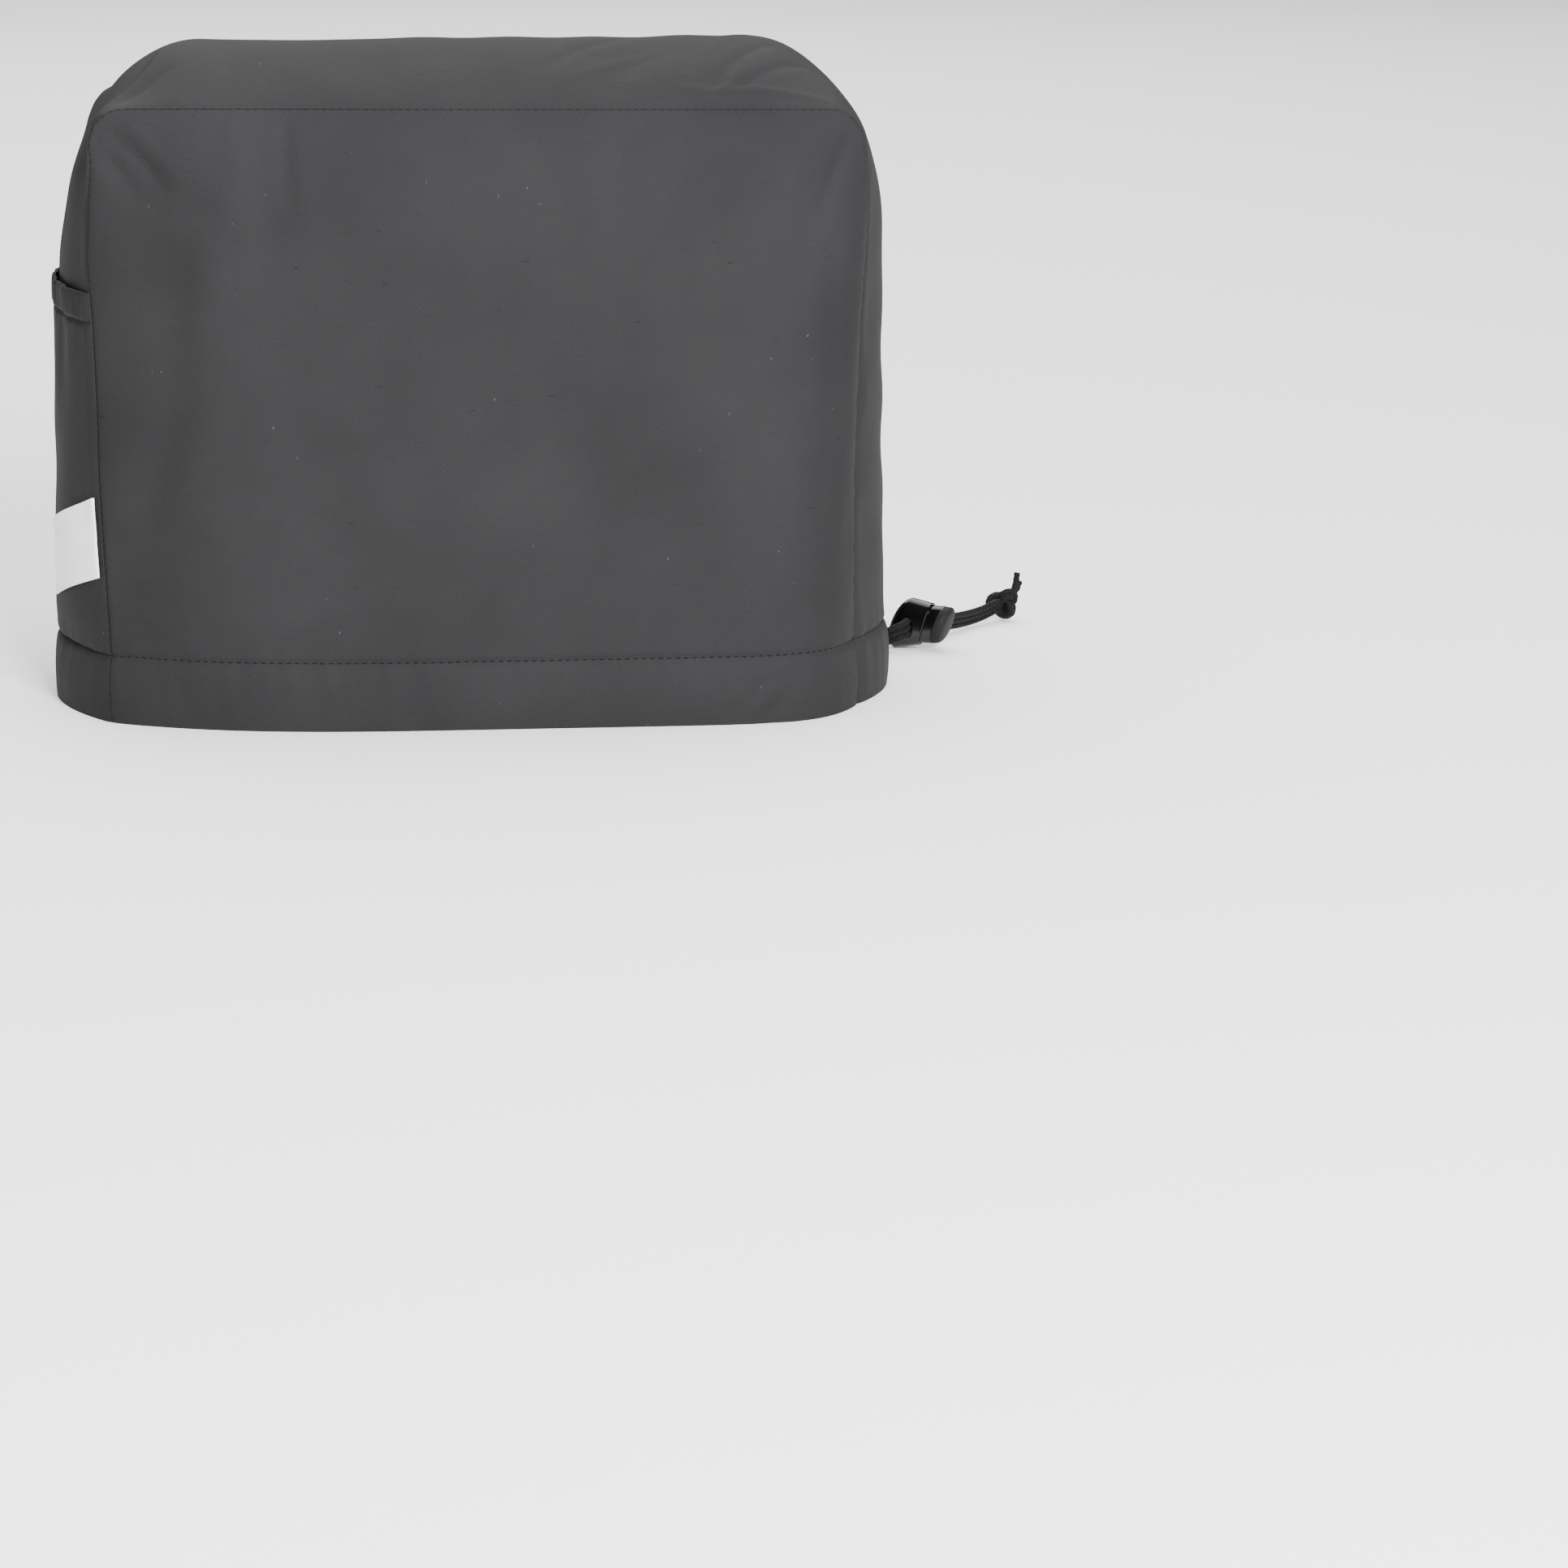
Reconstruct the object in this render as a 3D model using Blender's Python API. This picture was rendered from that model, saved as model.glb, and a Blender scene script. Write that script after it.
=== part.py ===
"""Fitted toaster cover of charcoal nylon, with an end pocket, a blank label and a hem drawstring.

The cloth is a front panel, a back panel and one band that runs up the left end, over the top and
down the right end. The panels meet the band edge to edge along two seams. A pocket is sewn over
the band on the left end, and a woven label is caught in the front left seam. The drawstring leaves
the hem at the back right seam, passes a sprung cord lock on the table, and ends in a knot.

Metres, +Z up, front towards -Y, origin on the table under the middle of the cover.
"""
import math

import bmesh
import bpy
import numpy as np
from mathutils import Matrix

# Cover, outside faces. Reaches are at the hem and at the shoulder, corner radii across and up
HEIGHT = 0.2480
LEFT_REACH = (0.1588, 0.1543)
RIGHT_REACH = (0.1588, 0.1568)
LEFT_SHOULDER = (0.054, 0.084)
RIGHT_SHOULDER = (0.054, 0.070)
SEAM_HEIGHT = 0.2270
SEAM_CORNER_RADIUS = (0.0135, 0.0140)
SEAM_DEPTH_TOP = 0.066
EDGE_DEPTH_TOP = 0.0675
BELLY_DEPTH = 0.0945
BELLY_HEIGHT = 0.120
BELLY_POWER = (1.5, 2.6)
HEM_DEPTH = 0.0924
CLOTH = 0.0015
GAP = 0.0003

# Hem casing that the drawstring runs in
HEM_HEIGHT = 0.025
HEM_PROUD = 0.0018
HEM_GROOVE = 0.0006
HEM_GROOVE_WIDTH = 0.0016
HEM_TUCK = 0.006

# Each panel: side, seam x at the hem and at the top for its left and right leg, seam depth at the
# hem for both, how late the panel rounds towards each seam (a power, high is a tighter corner), and
# how much further out its right half stands than its left
PANELS = {
    "front_panel": dict(side=-1, hem_x=(-0.1393, 0.1405), top_x=(-0.1428, 0.1432),
                        hem_depth=(0.0630, 0.0585), rounding=(3.4, 10.0), skew=0.0020,
                        top_tilt=-0.0013, wander=1.0),
    "back_panel": dict(side=1, hem_x=(-0.1400, 0.1415), top_x=(-0.1430, 0.1432),
                       hem_depth=(0.0640, 0.0640), rounding=(3.4, 4.6), skew=-0.0020,
                       top_tilt=0.0, wander=0.5),
}

# How far the front seams wander from their straight legs: height, left seam, right seam
SEAM_WANDER = [
    (0.000, 0.0009, 0.0002),
    (0.030, 0.0007, -0.0002),
    (0.060, -0.0002, -0.0008),
    (0.090, -0.0010, -0.0012),
    (0.120, -0.0006, -0.0006),
    (0.150, -0.0010, 0.0002),
    (0.172, -0.0021, 0.0014),
    (0.188, -0.0010, 0.0021),
    (0.205, 0.0004, 0.0014),
    (0.227, 0.0, 0.0),
]

# Main folds: panel, lower end x and z, upper end x and z, how far in (plus) or out, half width
FOLDS = [
    ("front_panel", -0.118, 0.196, -0.138, 0.214, 0.0018, 0.0060),
    ("front_panel", -0.096, 0.186, -0.124, 0.217, 0.0016, 0.0070),
    ("front_panel", -0.078, 0.180, -0.080, 0.224, 0.0016, 0.0080),
    ("front_panel", 0.052, 0.176, 0.050, 0.222, 0.0012, 0.0080),
    ("front_panel", 0.120, 0.178, 0.134, 0.212, 0.0016, 0.0075),
    ("front_panel", -0.128, 0.040, -0.112, 0.140, 0.0022, 0.0110),
    ("front_panel", -0.072, 0.052, -0.040, 0.070, 0.0012, 0.0080),
    ("front_panel", 0.104, 0.000, 0.112, 0.016, 0.0012, 0.0050),
    ("back_panel", -0.110, 0.182, -0.132, 0.214, 0.0018, 0.0075),
    ("back_panel", 0.108, 0.178, 0.130, 0.213, 0.0018, 0.0075),
    ("back_panel", -0.030, 0.180, -0.034, 0.222, 0.0014, 0.0090),
    ("back_panel", 0.110, 0.050, 0.124, 0.140, 0.0020, 0.0110),
]
# Folds of the band: along the band from the left hem (0 to 1), across it (-1 to 1), depth, half width
BAND_FOLDS = [
    (0.310, -0.85, 0.345, -0.45, 0.0012, 0.010),
    (0.655, -0.80, 0.675, -0.40, 0.0012, 0.010),
    (0.700, 0.35, 0.670, 0.80, 0.0014, 0.011),
    (0.500, 0.30, 0.515, 0.80, 0.0010, 0.012),
]

# Length over which a fold fades out below the top seam
FOLD_FADE = 0.008

# Grid of the cloth: columns across a panel, rows above the hem, and columns across the band
PANEL_COLUMNS = 29
BODY_ROWS = 13
CORNER_ROWS = 3
BAND_COLUMNS = 13
HEM_ROWS = (0.0, 0.008, 0.016, 0.0225, 0.025, 0.0275, 0.034)
EVEN_BELOW = 0.050

# Pocket on the left end, in the width of the band (-1 front seam, 1 back seam)
POCKET_TOP = 0.1602
POCKET_ARCH = 0.0040
POCKET_BOTTOM = 0.0285
POCKET_EDGE = 0.965
POCKET_CLOTH = 0.0012
POCKET_BULGE = 0.0007
POCKET_HEM = 0.0005
POCKET_BAND = 0.011
CLOTH_GAP = 0.0004

# Label, hanging from the front left seam
LABEL_LENGTH = 0.047
LABEL_HEIGHT = 0.030
LABEL_CLOTH = 0.0010
LABEL_CURL = 0.0008
LABEL_DROOP = math.radians(16.5)
LABEL_SEAM_POINT = (-0.0640, 0.0698)

# Cord lock, in its own frame: x along its axis to the button, y through its flat faces.
# Halves are at the domed back and at the rim; the dome is a share of the body's length
LOCK_PLACE = (0.1784, 0.0570, 0.0102)
LOCK_YAW = math.radians(-28.0)
LOCK_BACK = -0.0084
LOCK_RIM = 0.0066
LOCK_HALF_HEIGHT = (0.0102, 0.0084)
LOCK_HALF_THICKNESS = (0.0056, 0.0054)
LOCK_SLANT = (0.42, 0.30)
LOCK_DOME = 0.32
LOCK_END = 0.14
HOLE_DROP = 0.0009
BUTTON_TRAVEL = 0.0030
# The button's slotted stem, the wide neck that slides in the rim, and its head (height, thickness)
STEM_HALF = (0.0050, 0.0026)
STEM_BACK = -0.0025
SLOT_BACK = -0.0016
CORD_HOLE_HALF = (0.0021, 0.00425)
NECK_HALF = (0.0076, 0.0046)
NECK_BACK = 0.0058
BUTTON_HEAD = (0.0110, 0.0158)
BUTTON_HEAD_HALF = (0.0074, 0.0076)
BUTTON_SLANT = 0.34
BUTTON_JOIN = 0.0010
CUTTER_REACH = 0.010
# The button's head: shares of its length, thickness and height at each station
BUTTON_SHARES = [
    (0.0, 0.90, 0.94),
    (0.16, 1.0, 1.0),
    (0.52, 1.0, 1.0),
    (0.80, 0.90, 0.92),
    (1.0, 0.60, 0.66),
]

# Drawstring: its route in millimetres, chosen by hand, and its three strands
CORD_DIAMETER = 0.0023
STRAND_PITCH = 0.0026
CORD_POINTS = 40
CORD_ROUTE_MM = [
    (143.25, 65.4, 4.4),
    (146.6, 67.8, 4.3),
    (150.9, 69.0, 4.1),
    (155.2, 67.2, 3.8),
    (158.8, 62.8, 3.4),
    (161.9, 57.2, 3.6),
    (165.4, 51.4, 5.1),
    (169.2, 48.0, 7.2),
    (173.2, 48.2, 8.7),
    (175.9, 52.1, 9.3),
    (178.4, 57.0, 9.3),
    (181.1, 62.1, 9.3),
    (185.0, 69.2, 8.7),
    (190.8, 77.4, 7.1),
    (198.6, 87.4, 5.2),
    (206.8, 97.8, 4.5),
    (213.9, 105.8, 4.9),
    (219.2, 110.8, 6.1),
]
# Turn of the row of strands out of level, in degrees, at parts of the route's length
STRAND_TURN = [(0.0, 90.0), (0.05, 80.0), (0.19, 20.0), (0.24, 25.0), (0.37, 90.0), (0.58, 90.0),
               (0.74, 62.0), (1.0, 62.0)]

# Knot at the end of the drawstring, with its two cut tails
KNOT_PLACE = (0.2243, 0.1146, 0.0074)
KNOT_SCALE = (0.00170, 0.00105, 0.00155)
KNOT_LEAN = math.radians(-18.0)
KNOT_TUBE = 0.0023
TAIL_MM = [(2.8, 0.2, 3.0), (5.0, 0.6, 7.0), (6.0, 1.2, 12.6)]
NUB_MM = [(3.0, 1.4, 2.4), (5.8, 1.8, 5.4), (7.2, 2.0, 9.0)]

COLOURS = {
    "nylon": ((0.042, 0.042, 0.044), 0.62),
    "label": ((0.80, 0.80, 0.78), 0.70),
    "lock": ((0.010, 0.010, 0.011), 0.25),
    "button": ((0.030, 0.030, 0.031), 0.55),
    "cord": ((0.030, 0.030, 0.030), 0.80),
}


def smoothstep(value):
    """0 below 0, 1 above 1, and a smooth rise between."""
    clipped = np.clip(value, 0.0, 1.0)
    return clipped * clipped * (3.0 - 2.0 * clipped)


def unit(vectors):
    """Each vector at length 1."""
    return vectors / np.maximum(np.linalg.norm(vectors, axis=-1, keepdims=True), 1e-12)


def leg_length(height, radius):
    """Length up a leg of an arch, from the table to the middle of its corner."""
    return height - radius[1] + (radius[0] + radius[1]) / 2.0 * math.pi / 4.0


def arch_leg(hand, x_hem, x_top, height, radius, length):
    """Points up one leg: straight from x_hem to x_top, then the first half of the oval corner."""
    straight = height - radius[1]
    along = np.minimum(length, straight)
    turn = np.maximum(length - straight, 0.0) / ((radius[0] + radius[1]) / 2.0)
    x = x_hem + (x_top - x_hem) * along / straight - hand * radius[0] * (1.0 - np.cos(turn))
    return x, along + radius[1] * np.sin(turn)


def arch_top(x_left, x_right, height, left_radius, right_radius, across):
    """Points over the top, across from -1 to 1, between the middles of the two oval corners."""
    left = across < 0.0
    wide = np.where(left, left_radius[0], right_radius[0])
    tall = np.where(left, left_radius[1], right_radius[1])
    flat = np.where(left, -x_left, x_right) - wide
    mean = (wide + tall) / 2.0
    run = np.abs(across) * (flat + mean * math.pi / 4.0)
    turn = np.maximum(run - flat, 0.0) / mean
    x = np.sign(across) * (np.minimum(run, flat) + wide * np.sin(turn))
    return x, height - tall * (1.0 - np.cos(turn))


def leg_rows():
    """Lengths up a leg at which the cloth has a row of points, closer in the hem and the corner."""
    straight = SEAM_HEIGHT - SEAM_CORNER_RADIUS[1]
    body = np.linspace(HEM_ROWS[-1], straight, BODY_ROWS + 1)[1:]
    corner = np.linspace(straight, leg_length(SEAM_HEIGHT, SEAM_CORNER_RADIUS), CORNER_ROWS + 1)[1:]
    return np.concatenate([HEM_ROWS, body, corner])


def panel_columns():
    """Places across a panel from -1 to 1, closer towards its two seams."""
    even = np.linspace(-1.0, 1.0, PANEL_COLUMNS)
    return even * (1.35 - 0.35 * even * even)


def middle_depth(z):
    """Depth of a panel's middle: almost upright to half height, then leaning in to the top seam."""
    below = np.clip((BELLY_HEIGHT - z) / BELLY_HEIGHT, 0.0, 1.0)
    above = np.clip((z - BELLY_HEIGHT) / (SEAM_HEIGHT - BELLY_HEIGHT), 0.0, 1.0)
    hem_lean = (BELLY_DEPTH - HEM_DEPTH) * below ** BELLY_POWER[0]
    return BELLY_DEPTH - hem_lean - (BELLY_DEPTH - EDGE_DEPTH_TOP) * above ** BELLY_POWER[1]


def panel_grid(panel):
    """Outer face of a panel: a patch between its hem, legs and top edge, bellied out in depth.

    Width and height blend the four edges. Depth goes from the middle's depth to the seam's depth
    as a power of the distance from the middle.
    """
    across = panel_columns()[:, None]
    rows = leg_rows()[None, :]
    share = (across + 1.0) / 2.0
    rise = rows / rows[0, -1]
    radius = SEAM_CORNER_RADIUS
    left_x, leg_z = arch_leg(-1, panel["hem_x"][0], panel["top_x"][0], SEAM_HEIGHT, radius, rows)
    right_x, _ = arch_leg(1, panel["hem_x"][1], panel["top_x"][1], SEAM_HEIGHT, radius, rows)
    top_x, top_z = arch_top(*panel["top_x"], SEAM_HEIGHT, radius, radius, across)
    hem_x = panel["hem_x"][0] * (1.0 - share) + panel["hem_x"][1] * share
    corner_left = (1.0 - rise) * hem_x[0, 0] + rise * top_x[0, 0]
    corner_right = (1.0 - rise) * hem_x[-1, 0] + rise * top_x[-1, 0]
    x = (1.0 - rise) * hem_x + rise * top_x
    x = x + (1.0 - share) * (left_x - corner_left) + share * (right_x - corner_right)
    z = leg_z + rise * (top_z - top_z[0, 0])
    heights, left_shift, right_shift = (np.array(part) for part in zip(*SEAM_WANDER))
    shift = np.where(across < 0.0, np.interp(z, heights, left_shift), np.interp(z, heights, right_shift))
    x = x + panel["wander"] * shift * np.abs(across) ** 5
    z = z + panel["top_tilt"] * across * rise ** 4
    hem_depth = np.where(across < 0.0, *panel["hem_depth"])
    seam = hem_depth + (SEAM_DEPTH_TOP - hem_depth) * z / SEAM_HEIGHT
    power = np.where(across < 0.0, *panel["rounding"])
    middle = middle_depth(z)
    depth = middle + (seam - middle) * np.abs(across) ** power
    depth = depth + panel["skew"] * across * (1.0 - across ** 6) * (1.0 - rise ** 4)
    return np.stack([x, panel["side"] * depth, z], axis=-1)


def seam_of(grid):
    """The seam line round a panel's grid: up its left edge, over its top, down its right edge."""
    return np.concatenate([grid[0], grid[1:, -1], grid[-1, -2::-1]])


def stretched(rows, shoulder):
    """The lengths up a seam stretched to run to the middle of the shoulder, level in the hem."""
    share = np.maximum(rows - EVEN_BELOW, 0.0) / (rows[-1] - EVEN_BELOW)
    top = leg_length(HEIGHT, shoulder)
    return np.where(rows < EVEN_BELOW, rows, EVEN_BELOW + share * (top - EVEN_BELOW))


def band_middle():
    """The band's middle line, with a point for each point of a seam line."""
    rows = leg_rows()
    left_x, left_z = arch_leg(-1, -LEFT_REACH[0], -LEFT_REACH[1], HEIGHT, LEFT_SHOULDER,
                              stretched(rows, LEFT_SHOULDER))
    right_x, right_z = arch_leg(1, RIGHT_REACH[0], RIGHT_REACH[1], HEIGHT, RIGHT_SHOULDER,
                                stretched(rows, RIGHT_SHOULDER))
    top_x, top_z = arch_top(-LEFT_REACH[1], RIGHT_REACH[1], HEIGHT, LEFT_SHOULDER, RIGHT_SHOULDER,
                            panel_columns()[1:-1])
    x = np.concatenate([left_x, top_x, right_x[::-1]])
    z = np.concatenate([left_z, top_z, right_z[::-1]])
    return np.stack([x, np.zeros_like(x), z], axis=-1)


def band_section(front, middle, back, across):
    """Point of the band's cross-section: the parabola through front seam, middle line, back seam."""
    half = (back - front) / 2.0
    bow = (front + back) / 2.0 - middle
    return middle + across * half + across * across * bow


def outward(grid, turn):
    """Unit normals of a grid of points, level near the table so that the hem's edge stays flat.

    The turn is 1 or -1, whichever makes them point out of the cover.
    """
    along = np.gradient(grid, axis=0)
    up = np.gradient(grid, axis=1)
    normal = unit(np.cross(along, up)) * turn
    lift = smoothstep(grid[..., 2] / EVEN_BELOW)
    normal[..., 2] *= lift
    return unit(normal)


def hem_relief(z):
    """How far the hem stands out: a casing fullest at its middle, a stitched groove, plain cloth."""
    share = np.clip((z + HEM_TUCK) / (HEM_HEIGHT + HEM_TUCK), 0.0, 1.0)
    casing = HEM_PROUD * np.sin(math.pi * share) ** 0.7
    groove = HEM_GROOVE * np.exp(-((z - HEM_HEIGHT) / HEM_GROOVE_WIDTH) ** 2)
    return casing - groove


def fold_relief(first, second, start, end, depth, half_width):
    """A soft trough along a line: depth times a bell curve of the distance to the line."""
    line = np.array(end) - np.array(start)
    offset_a = first - start[0]
    offset_b = second - start[1]
    place = np.clip((offset_a * line[0] + offset_b * line[1]) / (line @ line), 0.0, 1.0)
    distance = np.hypot(offset_a - place * line[0], offset_b - place * line[1])
    return -depth * np.exp(-(distance / half_width) ** 2)


def seam_frame(seam, panel_normal, band_normal, towards_band):
    """Outward, across and reach at each seam point, shared by the two pieces that meet there."""
    out = unit(panel_normal + band_normal)
    spread = np.maximum(np.sum(out * panel_normal, axis=-1, keepdims=True), 0.6)
    run = unit(np.gradient(seam, axis=0))
    across = unit(np.cross(run, out))
    across = across * np.sign(np.sum(across * towards_band, axis=-1, keepdims=True))
    across[[0, -1], 2] = 0.0
    out[[0, -1], 2] = 0.0
    return unit(out), unit(across), spread


def thin_sheet(name, outer, inner, material):
    """Closed thin sheet between two grids of points, joined round their four edges."""
    count = outer.shape[0] * outer.shape[1]
    index = np.arange(count).reshape(outer.shape[:2])
    corners = [index[:-1, :-1], index[1:, :-1], index[1:, 1:], index[:-1, 1:]]
    face = np.stack(corners, axis=-1).reshape(-1, 4)
    ring = np.concatenate([index[:, 0], index[-1, 1:], index[-2::-1, -1], index[0, -2:0:-1]])
    after = np.roll(ring, -1)
    rim = np.stack([after, ring, ring + count, after + count], axis=-1)
    faces = np.concatenate([face, face[:, ::-1] + count, rim])
    points = np.concatenate([outer.reshape(-1, 3), inner.reshape(-1, 3)])
    return add_mesh(name, points, faces, material)


def add_mesh(name, points, faces, material):
    """Object from points and faces, with its faces turned outwards and shaded smooth."""
    mesh = bpy.data.meshes.new(name)
    mesh.from_pydata([tuple(p) for p in points], [], [tuple(int(i) for i in f) for f in faces])
    work = bmesh.new()
    work.from_mesh(mesh)
    bmesh.ops.recalc_face_normals(work, faces=work.faces[:])
    work.to_mesh(mesh)
    work.free()
    mesh.shade_smooth()
    mesh.set_sharp_from_angle(angle=math.radians(50.0))
    obj = bpy.data.objects.new(name, mesh)
    bpy.context.scene.collection.objects.link(obj)
    mesh.materials.append(material)
    return obj


def make_material(name, key):
    """Principled material with the finish of one of the cover's stuffs."""
    colour, roughness = COLOURS[key]
    material = bpy.data.materials.new(name)
    material.use_nodes = True
    shader = material.node_tree.nodes["Principled BSDF"]
    shader.inputs["Base Color"].default_value = (*colour, 1.0)
    shader.inputs["Roughness"].default_value = roughness
    material.diffuse_color = (*colour, 1.0)
    return material


def build_cloth():
    """The two panels and the band, edge to edge along the two seams."""
    grids = {name: panel_grid(panel) for name, panel in PANELS.items()}
    normals = {name: outward(grids[name], -PANELS[name]["side"]) for name in PANELS}
    middle = band_middle()
    across = np.linspace(-1.0, 1.0, BAND_COLUMNS)[None, :, None]
    front = seam_of(grids["front_panel"])
    back = seam_of(grids["back_panel"])
    band = band_section(front[:, None], middle[:, None], back[:, None], across)
    band_normals = outward(band, 1.0)
    band_outer = band + band_normals * band_relief(band)[..., None]
    band_inner = band + band_normals * (band_folds(band) - CLOTH)[..., None]
    for name, panel in PANELS.items():
        grid = grids[name]
        normal = normals[name]
        column = 0 if panel["side"] < 0 else -1
        inside = 1 if panel["side"] < 0 else -2
        seam = band[:, column]
        to_band = band[:, inside] - seam
        out, over, spread = seam_frame(seam, seam_of(normal), band_normals[:, column], to_band)
        hem = hem_relief(seam[:, 2])[:, None]
        seam_outer = seam + out * hem
        seam_inner = seam - out * (CLOTH / spread)
        band_outer[:, column] = seam_outer + over * GAP / 2.0
        band_inner[:, column] = seam_inner + over * GAP / 2.0
        folds = panel_folds(name, grid)
        outer = grid + normal * (hem_relief(grid[..., 2]) + folds)[..., None]
        inner = grid + normal * (folds - CLOTH)[..., None]
        set_seam(outer, seam_outer - over * GAP / 2.0)
        set_seam(inner, seam_inner - over * GAP / 2.0)
        thin_sheet(name, on_table(outer), on_table(inner), make_material(name, "nylon"))
    nylon = make_material("gusset_band", "nylon")
    thin_sheet("gusset_band", on_table(band_outer), on_table(band_inner), nylon)
    return band, band_normals


def set_seam(grid, seam):
    """Put the points of a seam line back on the left, top and right edges of a panel's grid."""
    rows = grid.shape[1]
    columns = grid.shape[0]
    grid[0] = seam[:rows]
    grid[1:, -1] = seam[rows:rows + columns - 1]
    grid[-1, -2::-1] = seam[rows + columns - 1:]


def on_table(grid):
    """The same grid with every point of the hem's lower edge at table height."""
    low = grid[..., 2] < 0.001
    grid[..., 2] = np.where(low, 0.0, grid[..., 2])
    return grid


def panel_folds(name, grid):
    """Depth of a panel's main folds, fading out at its seams."""
    edge = 1.0 - np.abs(panel_columns()[:, None]) ** 10
    rise = np.clip((SEAM_HEIGHT - grid[..., 2]) / FOLD_FADE, 0.0, 1.0)
    total = np.zeros(grid.shape[:2])
    for panel, x0, z0, x1, z1, depth, half_width in FOLDS:
        if panel == name:
            total += fold_relief(grid[..., 0], grid[..., 2], (x0, z0), (x1, z1), depth, half_width)
    return total * edge * rise


def band_folds(band):
    """Depth of the band's folds, fading out at its seams."""
    rows, columns = band.shape[:2]
    run = np.linalg.norm(np.diff(band[:, columns // 2], axis=0), axis=-1)
    along = np.concatenate([[0.0], np.cumsum(run)])
    total_length = along[-1]
    across = np.linspace(-1.0, 1.0, columns)[None, :]
    half = SEAM_DEPTH_TOP
    total = np.zeros((rows, columns))
    for s0, w0, s1, w1, depth, half_width in BAND_FOLDS:
        start = (s0 * total_length, w0 * half)
        end = (s1 * total_length, w1 * half)
        total += fold_relief(along[:, None], across * half, start, end, depth, half_width)
    return total * (1.0 - across ** 6)


def band_relief(band):
    """The band's hem and folds together."""
    return hem_relief(band[..., 2]) + band_folds(band)


def left_end_surface(band, band_normals, across, heights):
    """Points and normals of the band on the left end, at places across it and heights up it."""
    levels = leg_rows()
    outer = band + band_normals * band_relief(band)[..., None]

    def sample(values):
        by_height = np.stack([np.interp(heights, levels, values[:len(levels), c, k])
                              for c in range(BAND_COLUMNS) for k in range(3)], axis=-1)
        by_height = by_height.reshape(heights.shape + (BAND_COLUMNS, 3))
        place = (across + 1.0) / 2.0 * (BAND_COLUMNS - 1)
        low = np.clip(np.floor(place).astype(int), 0, BAND_COLUMNS - 2)
        part = (place - low)[..., None]
        first = np.take_along_axis(by_height, low[..., None, None], axis=-2)[..., 0, :]
        second = np.take_along_axis(by_height, low[..., None, None] + 1, axis=-2)[..., 0, :]
        return first * (1.0 - part) + second * part

    return sample(outer), unit(sample(band_normals))


def pocket_bulge(across, heights):
    """The pocket's fullness: most at its mouth, none at its sides and its bottom."""
    side = 1.0 - np.abs(across / POCKET_EDGE) ** 2.4
    rise = smoothstep((heights - POCKET_BOTTOM) / (POCKET_TOP - POCKET_BOTTOM))
    return POCKET_BULGE * side * (0.25 + 0.75 * rise) * smoothstep((heights - POCKET_BOTTOM) / 0.02)


def pocket_relief(heights):
    """The pocket's hemmed mouth, a little thicker than the cloth below its stitching."""
    band_foot = POCKET_TOP - POCKET_BAND
    return POCKET_HEM * smoothstep((heights - band_foot) / 0.003)


def build_pocket(band, band_normals):
    """Pocket sewn over the left end, open at its top."""
    inner_places = np.linspace(-1.0, 1.0, BAND_COLUMNS)[1:-1]
    columns = np.concatenate([[-POCKET_EDGE], inner_places, [POCKET_EDGE]])
    levels = [level for level in leg_rows() if POCKET_BOTTOM + 0.004 < level < POCKET_TOP - 0.022]
    heights = np.array([POCKET_BOTTOM, *levels, POCKET_TOP - 0.018, POCKET_TOP - POCKET_BAND - 0.0015,
                        POCKET_TOP - POCKET_BAND + 0.0025, POCKET_TOP - 0.004, POCKET_TOP])
    across, height = np.meshgrid(columns, heights, indexing="ij")
    rise = smoothstep((height - POCKET_BOTTOM) / (POCKET_TOP - POCKET_BOTTOM))
    height = height + POCKET_ARCH * (1.0 - across ** 2) * rise
    points, normal = left_end_surface(band, band_normals, across, height)
    inner = points + normal * (CLOTH_GAP + pocket_bulge(across, height))[..., None]
    outer = inner + normal * (POCKET_CLOTH + pocket_relief(heights)[None, :])[..., None]
    thin_sheet("side_pocket", outer, inner, make_material("side_pocket", "nylon"))


def build_label(band, band_normals):
    """Blank woven label whose short edge is caught in the front left seam, drooping a little."""
    along = np.linspace(0.0, LABEL_LENGTH, 9)[:, None]
    up = np.linspace(-LABEL_HEIGHT / 2.0, LABEL_HEIGHT / 2.0, 6)[None, :]
    depth = LABEL_SEAM_POINT[0] + along * math.cos(LABEL_DROOP) + 0.0 * up
    height = LABEL_SEAM_POINT[1] - along * math.sin(LABEL_DROOP) + up
    across = depth / SEAM_DEPTH_TOP
    points, normal = left_end_surface(band, band_normals, across, height)
    lift = CLOTH_GAP + pocket_bulge(across, height) + POCKET_CLOTH + CLOTH_GAP
    lift = lift + LABEL_CURL * (along / LABEL_LENGTH) ** 2
    inner = points + normal * lift[..., None]
    outer = inner + normal * LABEL_CLOTH
    thin_sheet("label", outer, inner, make_material("label", "label"))


def superellipse(half_y, half_z, power, count):
    """Points round a rounded rectangle in y and z."""
    turn = np.linspace(0.0, 2.0 * math.pi, count, endpoint=False)
    y = half_y * np.sign(np.cos(turn)) * np.abs(np.cos(turn)) ** (2.0 / power)
    z = half_z * np.sign(np.sin(turn)) * np.abs(np.sin(turn)) ** (2.0 / power)
    return y, z


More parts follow.
